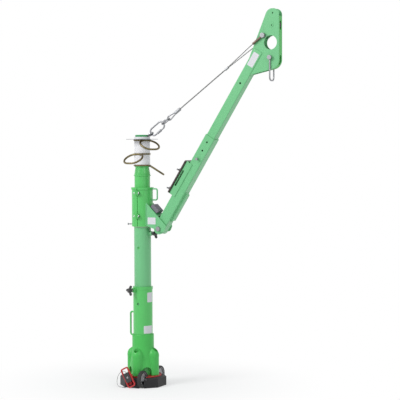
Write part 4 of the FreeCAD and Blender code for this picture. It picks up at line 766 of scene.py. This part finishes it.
# Boom head: the inner tube, two tear-drop plates let into its end and welded there, a bent strip with
# rope slots between their front edges, black rope wheels on bolts, and a rod bail for the hook.
sheave_black = moulded("sheave_black", (0.030, 0.030, 0.032), (0.050, 0.050, 0.050), gloss=0.40, grain=0.15)
inner_tube = dress("boom_inner", "boom_inner_tube", 0.0010, mast_green, "boom_head", "green_paint")
tube_plate = blank_plate("boom_plate", 0.044, 0.096, 0.004, on_boom(1.300, 0.0, -0.0335), (0.0, -1.0, 0.0),
                         boom_run, inner_tube)
fit_piece(tube_plate, plate_pale, "boom_head", "white_sleeve")
for cheek_side in ("near", "far"):
    cheek_node = "head_plate_" + cheek_side
    dress(cheek_node, "head_cheek_" + cheek_side, 0.0012, mast_green, "boom_head", "head_paint")
# The front strip takes the darker foot green: painted shade for its recess between the cheek plates.
dress("head_front", "head_front_strip", 0.0010, foot_green_strip_shade, "boom_head", "head_paint")
weld_group("head_welds", [
    weld_bead("head_weld", on_boom(1.3662, -0.024, side), on_boom(1.3662, 0.024, side), boom_bead)
    for side in (-0.0276, 0.0276)
], mast_green, "boom_head")
head_bolt_set = dress("head_bolts", "head_bolt_set", 0.0010, zinc, "boom_head", "bright_steel")
painted_above = 2.30
second_finish(head_bolt_set, mast_green, lambda spot: spot.z > painted_above)
dress("tie_bolt", "tie_through_bolt", 0.0010, zinc, "boom_head", "bright_steel")
for place in ("upper", "lower"):
    sheave = "sheave_" + place
    dress(sheave, "rope_wheel_" + place, 0.0010, sheave_black, sheave, "sheave_plastic")
dress("hoist_bail", "bail_rod", 0.0008, zinc, "bail", "bright_steel")

# Tie-back: eye bolt, snap hook with its gate, screw link, thimble, ferrule, two legs of stranded
# wire rope and their swaged ends.
fit_piece(eased_copy("tie_eye", "tie_eye_forging", 0.0009, 4), zinc, "swivel", "bright_steel", "tie_eye")
dress("carabiner", "snap_hook", 0.0008, zinc, "tie", "bright_steel")
dress("carabiner_gate", "snap_hook_gate", 0.0008, zinc, "gate", "bright_steel")
dress("quick_link", "screw_link", 0.0008, zinc, "tie", "bright_steel")
dress("thimble", "rope_thimble", 0.0006, zinc, "tie", "bright_steel")
swage_brown = plated_steel("swage_brown", (0.215, 0.160, 0.125), (0.130, 0.098, 0.078), gloss=0.50)
rope_ends = dress("rope_fittings", "swaged_fittings", 0.0010, zinc, "tie", "bright_steel")
swage_low, swage_high = 2.235, 2.300
second_finish(rope_ends, swage_brown, lambda spot: swage_low < spot.z < swage_high)
tie_foot = Vector((0.0702036, 0.0, 1.6958952))
tie_lean = math.radians(36.78344)
tie_run = Vector((math.cos(tie_lean), 0.0, math.sin(tie_lean)))
rope_radius = 0.003
strand_radius = 0.0010
core_radius = 0.0009
strand_count = 6
strand_step = math.tau / strand_count
lay_length = 0.040
steps_per_lay = 16
rope_bends = ((0.2741, 0.0033), (0.70159, 0.0033), (0.952157, 0.03495))
for rope_side, hand in (("near", -1.0), ("far", 1.0)):
    knees = [tie_foot + tie_run * along + Vector((0.0, hand * out, 0.0)) for along, out in rope_bends]
    stretches = []
    for low, high in zip(knees[:-1], knees[1:]):
        heading = (high - low).normalized()
        rope_length = (high - low).length
        bpy.ops.object.select_all(action="DESELECT")
        bpy.ops.mesh.primitive_circle_add(vertices=8, radius=strand_radius, location=origin)
        stretch = bpy.context.object
        bpy.ops.object.mode_set(mode="EDIT")
        bpy.ops.mesh.select_all(action="SELECT")
        bpy.ops.transform.translate(value=(rope_radius - strand_radius, 0.0, 0.0))
        for turn in range(strand_count - 1):
            bpy.ops.mesh.duplicate()
            bpy.ops.transform.rotate(value=strand_step, orient_axis="Z", center_override=origin)
        bpy.ops.mesh.select_all(action="DESELECT")
        bpy.ops.mesh.primitive_circle_add(vertices=8, radius=core_radius, location=origin)
        bpy.ops.object.mode_set(mode="OBJECT")
        twist = stretch.modifiers.new("rope_lay", "SCREW")
        twist.axis = "Z"
        twist.angle = math.tau * rope_length / lay_length
        twist.screw_offset = rope_length
        twist.steps = int(rope_length / lay_length * steps_per_lay)
        twist.render_steps = twist.steps
        twist.use_smooth_shade = True
        bpy.ops.object.modifier_apply(modifier="rope_lay")
        bpy.ops.object.mode_set(mode="EDIT")
        bpy.ops.mesh.select_all(action="SELECT")
        bpy.ops.mesh.fill_holes(sides=0)
        bpy.ops.mesh.select_all(action="SELECT")
        bpy.ops.mesh.normals_make_consistent(inside=False)
        bpy.ops.object.mode_set(mode="OBJECT")
        stretch.data.transform(heading.to_track_quat("Z", "Y").to_matrix().to_4x4())
        stretch.data.transform(Matrix.Translation(low))
        stretches.append(stretch)
    bpy.ops.object.select_all(action="DESELECT")
    for stretch in stretches:
        stretch.select_set(True)
    bpy.context.view_layer.objects.active = stretches[0]
    bpy.ops.object.join()
    rope = bpy.context.object
    rope.name = "wire_rope_" + rope_side
    fit_piece(rope, rope_steel, "tie", "wire_rope", "tie_rope_" + rope_side)
